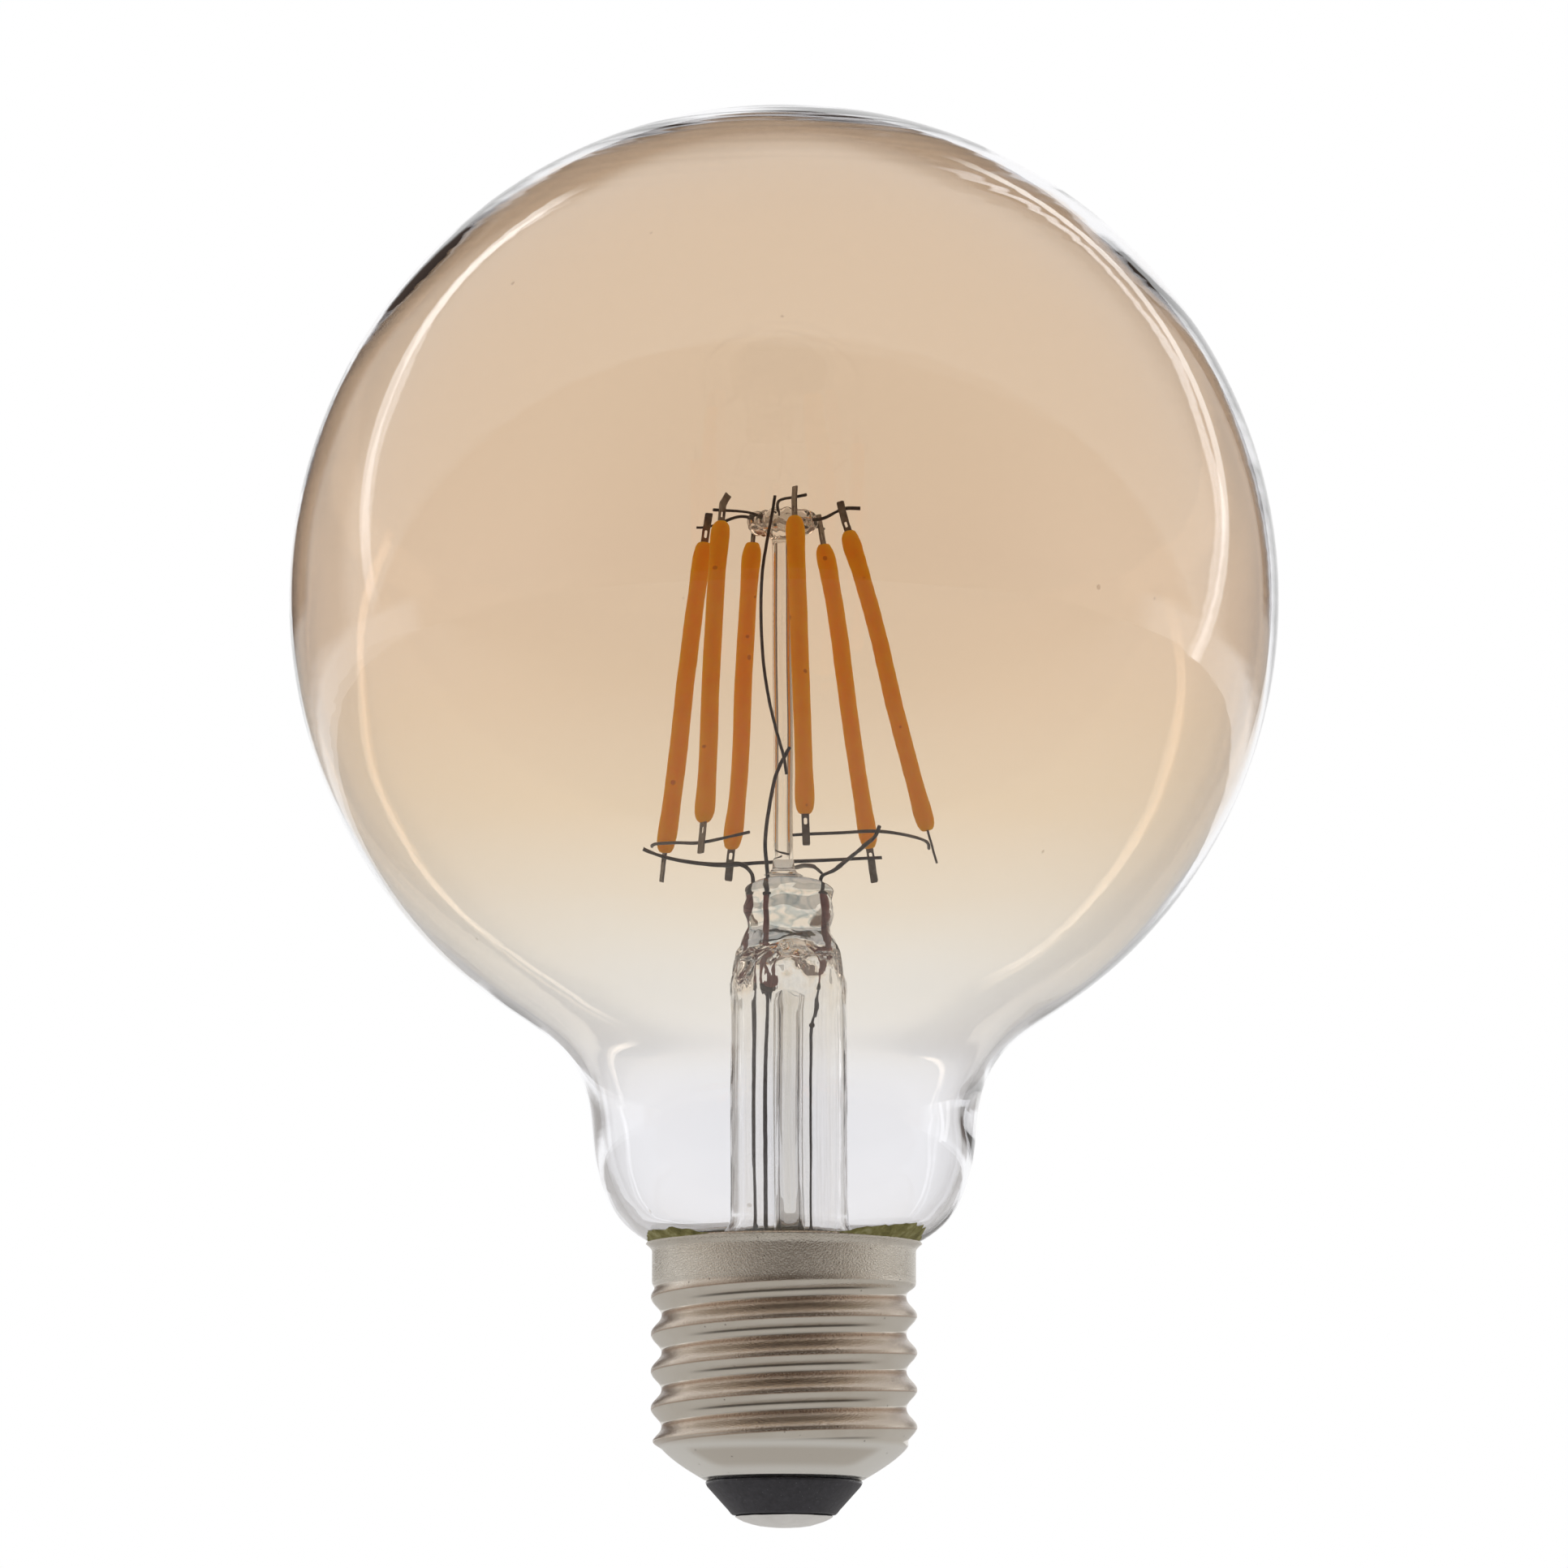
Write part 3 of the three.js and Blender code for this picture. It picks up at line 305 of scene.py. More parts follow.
clear_wall = Finish("clear_bulb_glass", transmission_weight=1.0, ior=1.5, roughness=0.0)
dust = clear_wall.maths("MULTIPLY", clear_wall.spots(90, 0.028), 0.6)
clear_wall.colour(clear_wall.mixed(dust, (0.93, 0.93, 0.955), (0.35, 0.28, 0.22)))
clear_wall.bump(clear_wall.noise(70, 1.0), 0.00003, 0.5)

amber = Finish("amber_lining", transmission_weight=1.0, ior=1.5, roughness=0.0)
tint = amber.between(amber.along("Z"), TINT_BOTTOM_Z * MM, TINT_TOP_Z * MM)
amber.colour(amber.ramp(
    tint, (0.0, (0.955, 0.955, 0.965)), (0.03, (0.945, 0.93, 0.885)), (0.10, (0.93, 0.875, 0.76)),
    (0.26, (0.885, 0.73, 0.53)), (0.45, (0.865, 0.66, 0.435)), (0.68, (0.83, 0.615, 0.42)),
    (1.0, (0.79, 0.585, 0.39))))
amber.bump(amber.noise(60, 1.0), 0.00003, 0.5)

bulb = finished("bulb_glass", envelope, clear_wall.material, ["glass_envelope"])
bulb.data.materials.append(amber.material)

# ------------------------------------------------------------------ stem glass
# A clear lead-glass tube flares out at its foot, where it is fused to the tail, and its top
# is pinched flat while soft, so that the press seals the lead wires. An exhaust tube runs up
# inside it.
STEM_RADIUS = 5.8
STEM_WALL = 0.4
PRESS_HALF_WIDTH = 4.3
PRESS_HALF_DEPTH = 2.2
PRESS_HEIGHT = 7.6
PRESS_ROUNDING = 1.6
CAVITY_ROUNDING = 2.6
STEM_STEPS = 96

stem_low, stem_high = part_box("stem_flare")
stem_x = (stem_low.x + stem_high.x) / 2 / MM
stem_bottom_z = stem_low.z / MM
press_top_z = stem_high.z / MM
press_bottom_z = press_top_z - PRESS_HEIGHT
lip_radius = (stem_high.x - stem_low.x) / 2 / MM


def smoothstep(low, high, value):
    share = min(1.0, max(0.0, (value - low) / (high - low)))
    return share * share * (3 - 2 * share)


def squeezed(bm, sections):
    """Reshapes a spun unit tube: each section is (height, half width, half depth, squareness)."""
    for vert in bm.verts:
        height = vert.co.z / MM
        below = max((s for s in sections if s[0] <= height + 1e-4), key=lambda s: s[0])
        above = min((s for s in sections if s[0] >= height - 1e-4), key=lambda s: s[0])
        share = smoothstep(below[0], above[0], height) if above[0] - below[0] > 1e-6 else 0.0
        width, depth, power = (a + (b - a) * share for a, b in zip(below[1:], above[1:]))
        unit = math.hypot(vert.co.x, vert.co.y) / MM
        if unit < 1e-6:
            continue
        c, s = vert.co.x / MM / unit, vert.co.y / MM / unit
        exponent = 2 / power
        vert.co.x = unit * width * math.copysign(abs(c) ** exponent, c) * MM
        vert.co.y = unit * depth * math.copysign(abs(s) ** exponent, s) * MM


outer_sections = [
    (stem_bottom_z, lip_radius, lip_radius, 2),
    (stem_bottom_z + 0.6, lip_radius, lip_radius, 2),
    (stem_bottom_z + 4.6, STEM_RADIUS + 0.9, STEM_RADIUS + 0.9, 2),
    (stem_bottom_z + 7, STEM_RADIUS, STEM_RADIUS, 2),
    (press_bottom_z - 3.0, STEM_RADIUS, STEM_RADIUS, 2),
    (press_bottom_z - 1.2, STEM_RADIUS - 0.5, STEM_RADIUS - 0.8, 2.1),
    (press_bottom_z + 0.8, PRESS_HALF_WIDTH + 0.3, PRESS_HALF_DEPTH + 1.1, 2.3),
    (press_bottom_z + 2.4, PRESS_HALF_WIDTH - 0.15, PRESS_HALF_DEPTH + 0.1, 2.9),
    (press_top_z - PRESS_ROUNDING, PRESS_HALF_WIDTH, PRESS_HALF_DEPTH, 3.2),
    (press_top_z, PRESS_HALF_WIDTH, PRESS_HALF_DEPTH, 3.0),
]
bore = STEM_RADIUS - STEM_WALL
inner_sections = [
    (stem_bottom_z, lip_radius - STEM_WALL, lip_radius - STEM_WALL, 2),
    (stem_bottom_z + 4.6, bore + 0.9, bore + 0.9, 2),
    (stem_bottom_z + 7, bore, bore, 2),
    (press_bottom_z - 3.2, bore, bore, 2),
    (press_bottom_z - 1.2, bore - 0.7, bore - 1.1, 2.2),
    (press_bottom_z + 2, PRESS_HALF_WIDTH - 0.9, PRESS_HALF_DEPTH - 0.5, 2.4),
]


def rounded_top(top, height, steps):
    """Unit profile that rounds over to the axis at the top of a tube."""
    return [(math.cos(a), top - height + height * math.sin(a))
            for a in (90 * DEGREES * i / steps for i in range(1, steps + 1))]


def tube_side(top, rounding, rows):
    """Unit profile of a tube's side with a rounded top, closed on the axis."""
    height = top - rounding - stem_bottom_z
    side = [(1, stem_bottom_z + height * i / rows) for i in range(rows + 1)]
    side += rounded_top(top, rounding, 12)
    side[-1] = (0, top)
    return side


stem_bm = spun(tube_side(press_top_z, PRESS_ROUNDING, 60), STEM_STEPS)
squeezed(stem_bm, outer_sections)
cavity = spun(tube_side(press_bottom_z + 0.9, CAVITY_ROUNDING, 50), STEM_STEPS)
squeezed(cavity, inner_sections)
joined(stem_bm, cavity)
for vert in stem_bm.verts:
    near_press = max(0.0, 1 - abs(vert.co.z / MM - press_bottom_z) / 5)
    ripple = noise.noise(vert.co / (1.7 * MM)) * 0.42 + noise.noise(vert.co / (0.8 * MM)) * 0.2
    on_press = smoothstep(press_bottom_z, press_bottom_z + 2.5, vert.co.z / MM)
    on_press *= 1 - smoothstep(press_top_z - 1.2, press_top_z, vert.co.z / MM)
    fold = 0.16 * math.sin(1.9 * vert.co.z / MM + 2.6 * noise.noise(vert.co / (2.6 * MM)))
    fold += 0.22 * noise.noise(vert.co / (1.5 * MM) + Vector((7, 0, 0)))
    vert.co += vert.normal * (ripple * near_press + fold * on_press) * MM
bmesh.ops.translate(stem_bm, verts=stem_bm.verts, vec=(stem_x * MM, 0, 0))

clear = Finish("clear_lead_glass", transmission_weight=1.0, ior=1.53, roughness=0.0)
cords = clear.noise(900, 2.0, where=clear.scaled(1, 1, 0.02))
drawn = clear.ramp(
    cords, (0.3, (0.995, 0.995, 1.0)), (0.44, (0.99, 0.99, 0.99)), (0.47, (0.92, 0.915, 0.91)),
    (0.50, (0.995, 0.995, 0.99)), (0.62, (0.985, 0.975, 0.95)), (0.8, (0.995, 0.995, 1.0)))
folds = clear.ramp(
    clear.noise(260, 2.0, 0.4, where=clear.scaled(1, 1, 1.7)),
    (0.42, (0, 0, 0)), (0.47, (1, 1, 1)), (0.50, (0, 0, 0)),
    (0.60, (0, 0, 0)), (0.62, (0.8, 0.8, 0.8)), (0.66, (0, 0, 0)))
height = clear.along("Z")
low_fade = clear.between(height, (press_bottom_z - 1.5) * MM, (press_bottom_z + 0.5) * MM)
high_fade = clear.between(height, (press_top_z - 0.3) * MM, (press_top_z - 2.2) * MM)
folds = clear.maths("MULTIPLY", folds, clear.maths("MULTIPLY", low_fade, high_fade))
clear.colour(clear.mixed(folds, drawn, (0.40, 0.50, 0.56)))
clear.bump(cords, 0.00006, 0.6)
clear.bump(clear.noise(420, 1.0, where=clear.scaled(1, 1, 0.8)), 0.00006, 0.5)

finished("stem_glass", stem_bm, clear.material, ["stem_flare"])

exhaust_low, exhaust_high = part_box("exhaust_tube")
exhaust_radius = (exhaust_high.x - exhaust_low.x) / 2 / MM
exhaust_tip_z, exhaust_top_z = exhaust_low.z / MM, exhaust_high.z / MM
EXHAUST_WALL = 0.6
exhaust_bore = exhaust_radius - EXHAUST_WALL
exhaust_bm = spun([
    (0, exhaust_tip_z),
    (0.35 * exhaust_radius, exhaust_tip_z + 0.15),
    (0.7 * exhaust_radius, exhaust_tip_z + 0.8),
    (0.93 * exhaust_radius, exhaust_tip_z + 1.8),
    (exhaust_radius, exhaust_tip_z + 3),
    (exhaust_radius, exhaust_top_z),
    (exhaust_bore, exhaust_top_z),
    (exhaust_bore, exhaust_tip_z + 3.2),
    (0.6 * exhaust_bore, exhaust_tip_z + 1.9),
    (0, exhaust_tip_z + 1.6),
], 48, stem_x)
finished("exhaust_tube_glass", exhaust_bm, clear.material, ["exhaust_tube"])

# ------------------------------------------------------------- rod and button
# A clear glass rod stands on the press. Its top was melted into a crinkled button, into
# which the hook wires were pushed while it was soft.
ROD_RADIUS = 0.98
BUTTON_HALF = 1.15
BUTTON_NOTCHES = 12

rod_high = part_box("glass_rod")[1]
button_radius = rod_high.x / MM
button_z = rod_high.z / MM - BUTTON_HALF
foot_z = press_top_z + 1.6

rod_profile = [
    (0, press_top_z + 0.02),
    (1.9, press_top_z + 0.02),
    (1.45, press_top_z + 0.25),
    (1.12, press_top_z + 0.7),
    (ROD_RADIUS, foot_z),
]
rod_profile += [(ROD_RADIUS, foot_z + (button_z - 4 - press_top_z) * i / 12) for i in range(1, 13)]
rod_profile += [
    (1.1 * ROD_RADIUS, button_z - BUTTON_HALF - 0.7),
    (1.6 * ROD_RADIUS, button_z - BUTTON_HALF - 0.2),
    (2.2 * ROD_RADIUS, button_z - BUTTON_HALF + 0.06),
]
rod_profile += arc((button_radius - BUTTON_HALF, button_z), BUTTON_HALF,
                   -80 * DEGREES, 75 * DEGREES, 12)
rod_profile += [
    (1.9, button_z + 0.9 * BUTTON_HALF),
    (1.2, button_z + 0.74 * BUTTON_HALF),
    (0.6, button_z + 0.66 * BUTTON_HALF),
    (0, button_z + 0.62 * BUTTON_HALF),
]
rod_bm = spun(rod_profile, 96)
for vert in rod_bm.verts:
    reach = math.hypot(vert.co.x, vert.co.y) / MM
    if vert.co.z / MM > button_z - 1.6 and reach > 1.2:
        turn = math.atan2(vert.co.y, vert.co.x)
        around = (math.cos(turn) * 3.2, math.sin(turn) * 3.2, vert.co.z / (1.3 * MM))
        crinkle = noise.noise(Vector(around))
        pinch = 0.5 + 0.5 * math.cos(BUTTON_NOTCHES * turn + 1.5 * math.sin(3 * turn))
        inset = 0.24 * pinch + 0.26 * abs(crinkle) + 0.02
        sink = 0.18 * crinkle + 0.12 * (pinch - 0.5)
        share = min(1.0, (reach - 1.2) / 1.6)
        side = math.copysign(1, vert.co.z / MM - button_z)
        vert.co -= Vector((math.cos(turn) * inset, math.sin(turn) * inset, sink * side)) * share * MM
finished("rod_and_button", rod_bm, clear.material, ["glass_rod"])

# ------------------------------------------------------------------- filaments
# Each filament is a ceramic strip of blue chips inside a moulded coat of orange phosphor
# silicone. The coat is translucent, carries a faint painted glow, and is fatter where it gathered at its
# ends.
SIDES = ("left", "front_left", "back_left", "front", "back_right", "right")
BODY_RADIUS = 0.87
END_RADIUS = 0.975
TIP_RADIUS = 0.5
END_LENGTH = 5


def points_of(name):
    return [v.co.copy() for v in nodes[name].data.vertices]


def long_axis(name):
    """The direction of a long thin CAD node, pointing up, and its two ends in metres."""
    points = points_of(name)
    low = min(points, key=lambda p: p.z)
    high = max(points, key=lambda p: p.z)
    axis = (high - low).normalized()
    middle = sum(points, Vector()) / len(points)
    for _ in range(12):
        moved = Vector()
        for point in points:
            moved += (point - middle) * (point - middle).dot(axis)
        axis = moved.normalized()
    reach = [(point - middle).dot(axis) for point in points]
    return axis, middle + axis * min(reach), middle + axis * max(reach)


def laid_along(bm, axis, start):
    """Turns a bmesh built up the Z axis so that it runs along an axis from a start point."""
    turn = Vector((0, 0, 1)).rotation_difference(axis).to_matrix()
    bmesh.ops.rotate(bm, verts=bm.verts, cent=(0, 0, 0), matrix=turn)
    bmesh.ops.translate(bm, verts=bm.verts, vec=start)


coat = Finish("orange_phosphor_silicone", specular_ior_level=0.05, subsurface_weight=1.0)
coat.shader.inputs["Subsurface Radius"].default_value = (0.0030, 0.0011, 0.0002)
coat.shader.inputs["Subsurface Scale"].default_value = 1.0
# Painted glow: a faint emission brightens the coat, though the lamp is not lit.
coat.shader.inputs["Emission Color"].default_value = (1.0, 0.27, 0.0, 1)
coat.shader.inputs["Emission Strength"].default_value = 0.14
mottle = coat.noise(420, 4.0, 0.6)
orange = coat.ramp(
    mottle, (0.25, (0.95, 0.40, 0.006)), (0.55, (1.0, 0.46, 0.008)), (0.85, (1.0, 0.52, 0.016)))
burnt = coat.maths("MULTIPLY", coat.spots(330, 0.10), 0.6)
coat.colour(coat.mixed(burnt, orange, (0.22, 0.07, 0.01)))
coat.roughness(coat.noise(700), 0.32, 0.5)
coat.bump(coat.noise(900, 2.0), 0.00005, 0.6)

for side in SIDES:
    axis, foot, head = long_axis(f"filament_{side}_phosphor")
    length = (head - foot).length / MM
    half = [(0, 0.0), (0.3, 0.01), (TIP_RADIUS, 0.05), (0.68, 0.22), (0.84, 0.55), (0.94, 1.05),
            (END_RADIUS, 1.7), (END_RADIUS - 0.01, 2.5), (0.92, 3.5), (BODY_RADIUS, END_LENGTH)]
    middle = [(BODY_RADIUS, END_LENGTH + (length - 2 * END_LENGTH) * i / 16) for i in range(1, 16)]
    coat_bm = spun(half + middle + [(r, length - z) for r, z in reversed(half)], 28)
    for vert in coat_bm.verts:
        reach = Vector((vert.co.x, vert.co.y, 0))
        wobble = noise.noise(vert.co / (2.5 * MM) + foot * 400)
        vert.co += reach * (0.035 * wobble - 0.01)
    laid_along(coat_bm, axis, foot)
    finished(f"phosphor_coat_{side}", coat_bm, coat.material, [f"filament_{side}_phosphor"])

ceramic = Finish("white_ceramic_strip", roughness=0.5)
ceramic.colour(ceramic.ramp(ceramic.noise(900), (0.3, (0.72, 0.70, 0.64)), (0.7, (0.86, 0.85, 0.80))))
for side in SIDES:
    nodes[f"filament_{side}_carrier"].material_slots[0].material = ceramic.material

# -------------------------------------------------------------------- end tabs
# A stamped tab of plated steel comes out of each end of a filament, with a slot punched
# beside the silicone. The wires are welded to the tabs.
TAB_CORNER = 0.13
tab_finish = Finish("stamped_tab_metal", metallic=0.85)
stain = tab_finish.noise(1100, 4.0, 0.65)
tab_finish.colour(tab_finish.ramp(
    stain, (0.3, (0.16, 0.125, 0.095)), (0.55, (0.30, 0.26, 0.215)), (0.8, (0.48, 0.44, 0.39))))
tab_finish.roughness(stain, 0.3, 0.55)
tab_finish.bump(tab_finish.noise(2600), 0.00002, 0.7)


def merged_copy(name):
    """A CAD node's mesh as a bmesh with its loose triangles joined."""
    bm = bmesh.new()
    bm.from_mesh(nodes[name].data)
    bmesh.ops.remove_doubles(bm, verts=bm.verts, dist=0.002 * MM)
    return bm


for side in SIDES:
    for end in ("foot", "head"):
        name = f"filament_{side}_{end}_tab"
        tab_bm = merged_copy(name)
        bmesh.ops.dissolve_limit(tab_bm, angle_limit=2 * DEGREES, verts=tab_bm.verts, edges=tab_bm.edges)
        flat = max(tab_bm.faces, key=lambda f: f.calc_area()).normal.copy()
        corners = [
            e for e in tab_bm.edges
            if abs((e.verts[0].co - e.verts[1].co).normalized().dot(flat)) > 0.98
            and e.is_manifold and e.calc_face_angle() > 60 * DEGREES]
        bmesh.ops.bevel(tab_bm, geom=corners, offset=TAB_CORNER * MM, offset_type="OFFSET", segments=4,
                        profile=0.5, affect="EDGES", clamp_overlap=True, material=-1)
        bmesh.ops.recalc_face_normals(tab_bm, faces=tab_bm.faces)
        finished(f"tab_{side}_{end}", tab_bm, tab_finish.material, [name], sharp=35)

# ------------------------------------------------------------------------ wires
# Hard drawn wires carry the filaments and feed them: hooks from the button, three bent
# supports round the foot, the leads out of the press, and the riser up to the front hook.
WIRE_SIZES = {"nickel_wire": 0.16, "dumet_wire": 0.24, "lead_wire": 0.2}
SEAL_RADIUS = 0.26
# Smoothing draws a six-sided wire in to this share of its radius, so it is grown first.
HEX_SHRINK = 5 / 6


def round_wire(name, node, material, slot):
    """A CAD wire made round and smooth, with square-cut ends."""
    bm = merged_copy(node)
    bmesh.ops.join_triangles(bm, faces=bm.faces, angle_face_threshold=30 * DEGREES,
                             angle_shape_threshold=60 * DEGREES)
    bm.normal_update()
    crease = bm.edges.layers.float.new("crease_edge")
    for edge in bm.edges:
        if edge.is_manifold and edge.calc_face_angle() > 75 * DEGREES:
            edge[crease] = 1.0
    moves = []
    for vert in bm.verts:
        sides = [f.normal for f in vert.link_faces
                 if max(e.calc_length() for e in f.edges) > 0.35 * MM]
        if sides:
            moves.append((vert, sum(sides, Vector()).normalized()))
    grow = (1 / HEX_SHRINK - 1) * WIRE_SIZES[slot] * MM
    for vert, outward in moves:
        vert.co += outward * grow
    piece = finished(name, bm, material, [node], sharp=180)
    smooth = piece.modifiers.new("Round", "SUBSURF")
    smooth.levels = smooth.render_levels = 2
    return piece


dark_wire = Finish("dark_drawn_wire", metallic=0.9)
scale_marks = dark_wire.noise(800, 4.0, 0.6)
dark_wire.colour(dark_wire.ramp(
    scale_marks, (0.3, (0.045, 0.035, 0.028)), (0.6, (0.12, 0.095, 0.075)), (0.85, (0.26, 0.21, 0.165))))
dark_wire.roughness(scale_marks, 0.32, 0.5)
dark_wire.bump(dark_wire.noise(3000), 0.00002, 0.6)

WIRES = [f"hook_{side}" for side in SIDES] + [
    "support_front_left", "support_front_right", "support_back", "lead_left_inner",
    "lead_right_inner", "lead_right_branch", "lead_centre_inner", "centre_riser"]
for wire in WIRES:
    round_wire(f"wire_{wire}", wire, dark_wire.material, "nickel_wire")

dumet = Finish("copper_clad_seal_wire", metallic=0.35)
blush = dumet.noise(1500, 3.0)
dumet.colour(dumet.ramp(blush, (0.3, (0.33, 0.085, 0.075)), (0.7, (0.50, 0.17, 0.145))))
dumet.roughness(blush, 0.35, 0.55)

grey_wire = Finish("grey_lead_wire", metallic=0.8)
oxide = grey_wire.noise(1200, 4.0)
grey_wire.colour(grey_wire.ramp(oxide, (0.3, (0.09, 0.09, 0.10)), (0.7, (0.24, 0.235, 0.26))))
grey_wire.roughness(oxide, 0.35, 0.55)
for side in ("left", "centre", "right"):
    low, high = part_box(f"lead_{side}_seal")
    bottom, top = low.z / MM, high.z / MM
    seal_bm = spun([(0, bottom), (SEAL_RADIUS, bottom), (SEAL_RADIUS, bottom + 2),
                    (SEAL_RADIUS, top - 2), (SEAL_RADIUS, top), (0, top)],
                   20, (low.x + high.x) / 2 / MM)
    finished(f"seal_wire_{side}", seal_bm, dumet.material, [f"lead_{side}_seal"])
    round_wire(f"outer_lead_{side}", f"lead_{side}_outer", grey_wire.material, "lead_wire")

# ---------------------------------------------------------------------- welds
# The wires are joined by small resistance welds, which leave an uneven knot at both ends of
# every seal wire, and one further down on two of the outer leads. The knots of those two
# leads are given by side, height and size along each axis.
LEAD_KNOTS = (("left", 53.1, (0.32, 0.32, 0.36)), ("right", 49.7, (0.36, 0.34, 0.34)))


def nugget(bm, centre, size, seed):
    """Adds a small uneven blob, its size in millimetres along each axis."""
    added = bmesh.ops.create_icosphere(bm, subdivisions=3, radius=1.0)["verts"]
    for vert in added:
        swell = 1 + 0.22 * noise.noise(vert.co * 1.6 + Vector((seed, 0, 0)))
        vert.co = Vector(centre) + Vector(
            (vert.co.x * size[0], vert.co.y * size[1], vert.co.z * size[2])) * swell * MM


weld_bm = bmesh.new()
for count, side in enumerate(("left", "centre", "right")):
    low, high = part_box(f"lead_{side}_seal")
    middle = Vector(((low.x + high.x) / 2, (low.y + high.y) / 2, 0))
    nugget(weld_bm, middle + Vector((0, 0, high.z)), (0.36, 0.34, 0.3), count)
    nugget(weld_bm, middle + Vector((0, 0, low.z)), (0.38, 0.36, 0.42), count + 5)
for side, height, size in LEAD_KNOTS:
    ring = sorted(points_of(f"lead_{side}_outer"), key=lambda p: abs(p.z / MM - height))[:6]
    nugget(weld_bm, sum(ring, Vector()) / len(ring), size, height)
finished("seal_weld_knots", weld_bm, dark_wire.material, [])

# ---------------------------------------------------------------------- cap shell
# The Edison shell is deep-drawn brass sheet, nickel-plated: a flared rim, a plain band with a
# fine orange peel, and a rolled thread that fades out into the skirt. The thread's flanks and
# valleys are dulled brown by wear, with darker painted reflection lines at the roots and
# mid-flanks, and a dark painted reflection streak along the front valleys.
THREAD_PITCH = 3.629
THREAD_CREST_RADIUS = 13.05
THREAD_DEPTH = 1.05
THREAD_CREST_Z = 20.67
THREAD_TOP_Z = 23.4
THREAD_BOTTOM_Z = 8.1
THREAD_FADE = 0.5
RIM_HEIGHT = 0.8
RIM_FLARE = 0.6
BAND_RADIUS = 12.95
SHEET = 0.35
CREST_SHARPNESS = 1.1
SKIRT_FOOT_RADIUS = 7.9
SKIRT_CURVE = 1.5
INSIDE_BOX = 0.004
SHELL_STEPS = 160
SHELL_ROWS = 150
# Where each finish starts and is full, in millimetres: heights, and depths towards the front.
THREAD_MARKS_FOOT = (7.5, 8.5)
THREAD_MARKS_TOP = (22.8, 23.8)
VALLEY_REFLECTION_FRONT = (-7.8, -11.2)
SKIRT_TOP = (7.6, 8.2)
SKIRT_PATCH_FOOT = (5.2, 6.0)
SKIRT_PATCH_TOP = (7.0, 7.6)
SKIRT_PATCH_FRONT = (-6.2, -7.8)
PEEL_FOOT = (22.5, 24.5)

shell_low, shell_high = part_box("cap_shell")
shell_bottom_z, rim_z = shell_low.z / MM, shell_high.z / MM
insulator_low, insulator_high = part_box("cap_insulator")


def shell_radius(z, angle):
    """Outer radius of the rolled shell in millimetres."""
    turns = (z - THREAD_CREST_Z) / THREAD_PITCH - angle / math.tau
    wave = (0.5 + 0.5 * math.cos(math.tau * turns)) ** CREST_SHARPNESS
    thread = THREAD_CREST_RADIUS - THREAD_DEPTH * (1 - wave)
    lip = min(1.0, max(0.0, (z - rim_z + RIM_HEIGHT) / RIM_HEIGHT)) ** 2
    band = BAND_RADIUS + RIM_FLARE * lip
    skirt_top_z = THREAD_BOTTOM_Z + THREAD_FADE
    drop = min(1.0, max(0.0, (skirt_top_z - z) / (skirt_top_z - shell_bottom_z)))
    skirt_top = THREAD_CREST_RADIUS - THREAD_DEPTH / 2
    skirt = skirt_top - (skirt_top - SKIRT_FOOT_RADIUS) * drop ** SKIRT_CURVE
    share = smoothstep(THREAD_TOP_Z - THREAD_FADE, THREAD_TOP_Z + THREAD_FADE, z)
    upper = thread + (band - thread) * share
    share = smoothstep(THREAD_BOTTOM_Z - THREAD_FADE, THREAD_BOTTOM_Z + THREAD_FADE, z)
    return skirt + (upper - skirt) * share


shell_bm = spun([(1, shell_bottom_z + (rim_z - shell_bottom_z) * i / SHELL_ROWS)
                 for i in range(SHELL_ROWS + 1)], SHELL_STEPS)
for vert in shell_bm.verts:
    angle = math.atan2(vert.co.y, vert.co.x)
    radius = shell_radius(vert.co.z / MM, angle) - INSIDE_BOX
    vert.co.x, vert.co.y = radius * math.cos(angle) * MM, radius * math.sin(angle) * MM
bmesh.ops.recalc_face_normals(shell_bm, faces=shell_bm.faces)
if sum(f.normal.xy.dot(f.calc_center_median().xy) for f in shell_bm.faces) < 0:
    bmesh.ops.reverse_faces(shell_bm, faces=shell_bm.faces)

nickel = Finish("nickel_plated_brass", metallic=1.0)
cloud = nickel.noise(160, 4.0, 0.6)
plate = nickel.ramp(cloud, (0.3, (0.66, 0.61, 0.535)), (0.7, (0.76, 0.72, 0.65)))
across, deep, height = (nickel.along(axis) for axis in "XYZ")


def plated(value, span):
    """The share of a finish on the shell, from the two ends of its span in millimetres."""
    return nickel.between(value, span[0] * MM, span[1] * MM)


def plated_below(span):
    return nickel.maths("SUBTRACT", 1, plated(height, span))


turned_by = nickel.maths("DIVIDE", nickel.maths("ARCTAN2", deep, across), math.tau)
climbed = nickel.maths("DIVIDE", nickel.maths("SUBTRACT", height, THREAD_CREST_Z * MM), THREAD_PITCH * MM)
phase = nickel.maths("FRACT", nickel.maths("ADD", nickel.maths("SUBTRACT", climbed, turned_by), 10.5))
on_thread = nickel.maths("MULTIPLY", plated(height, THREAD_MARKS_FOOT), plated_below(THREAD_MARKS_TOP))
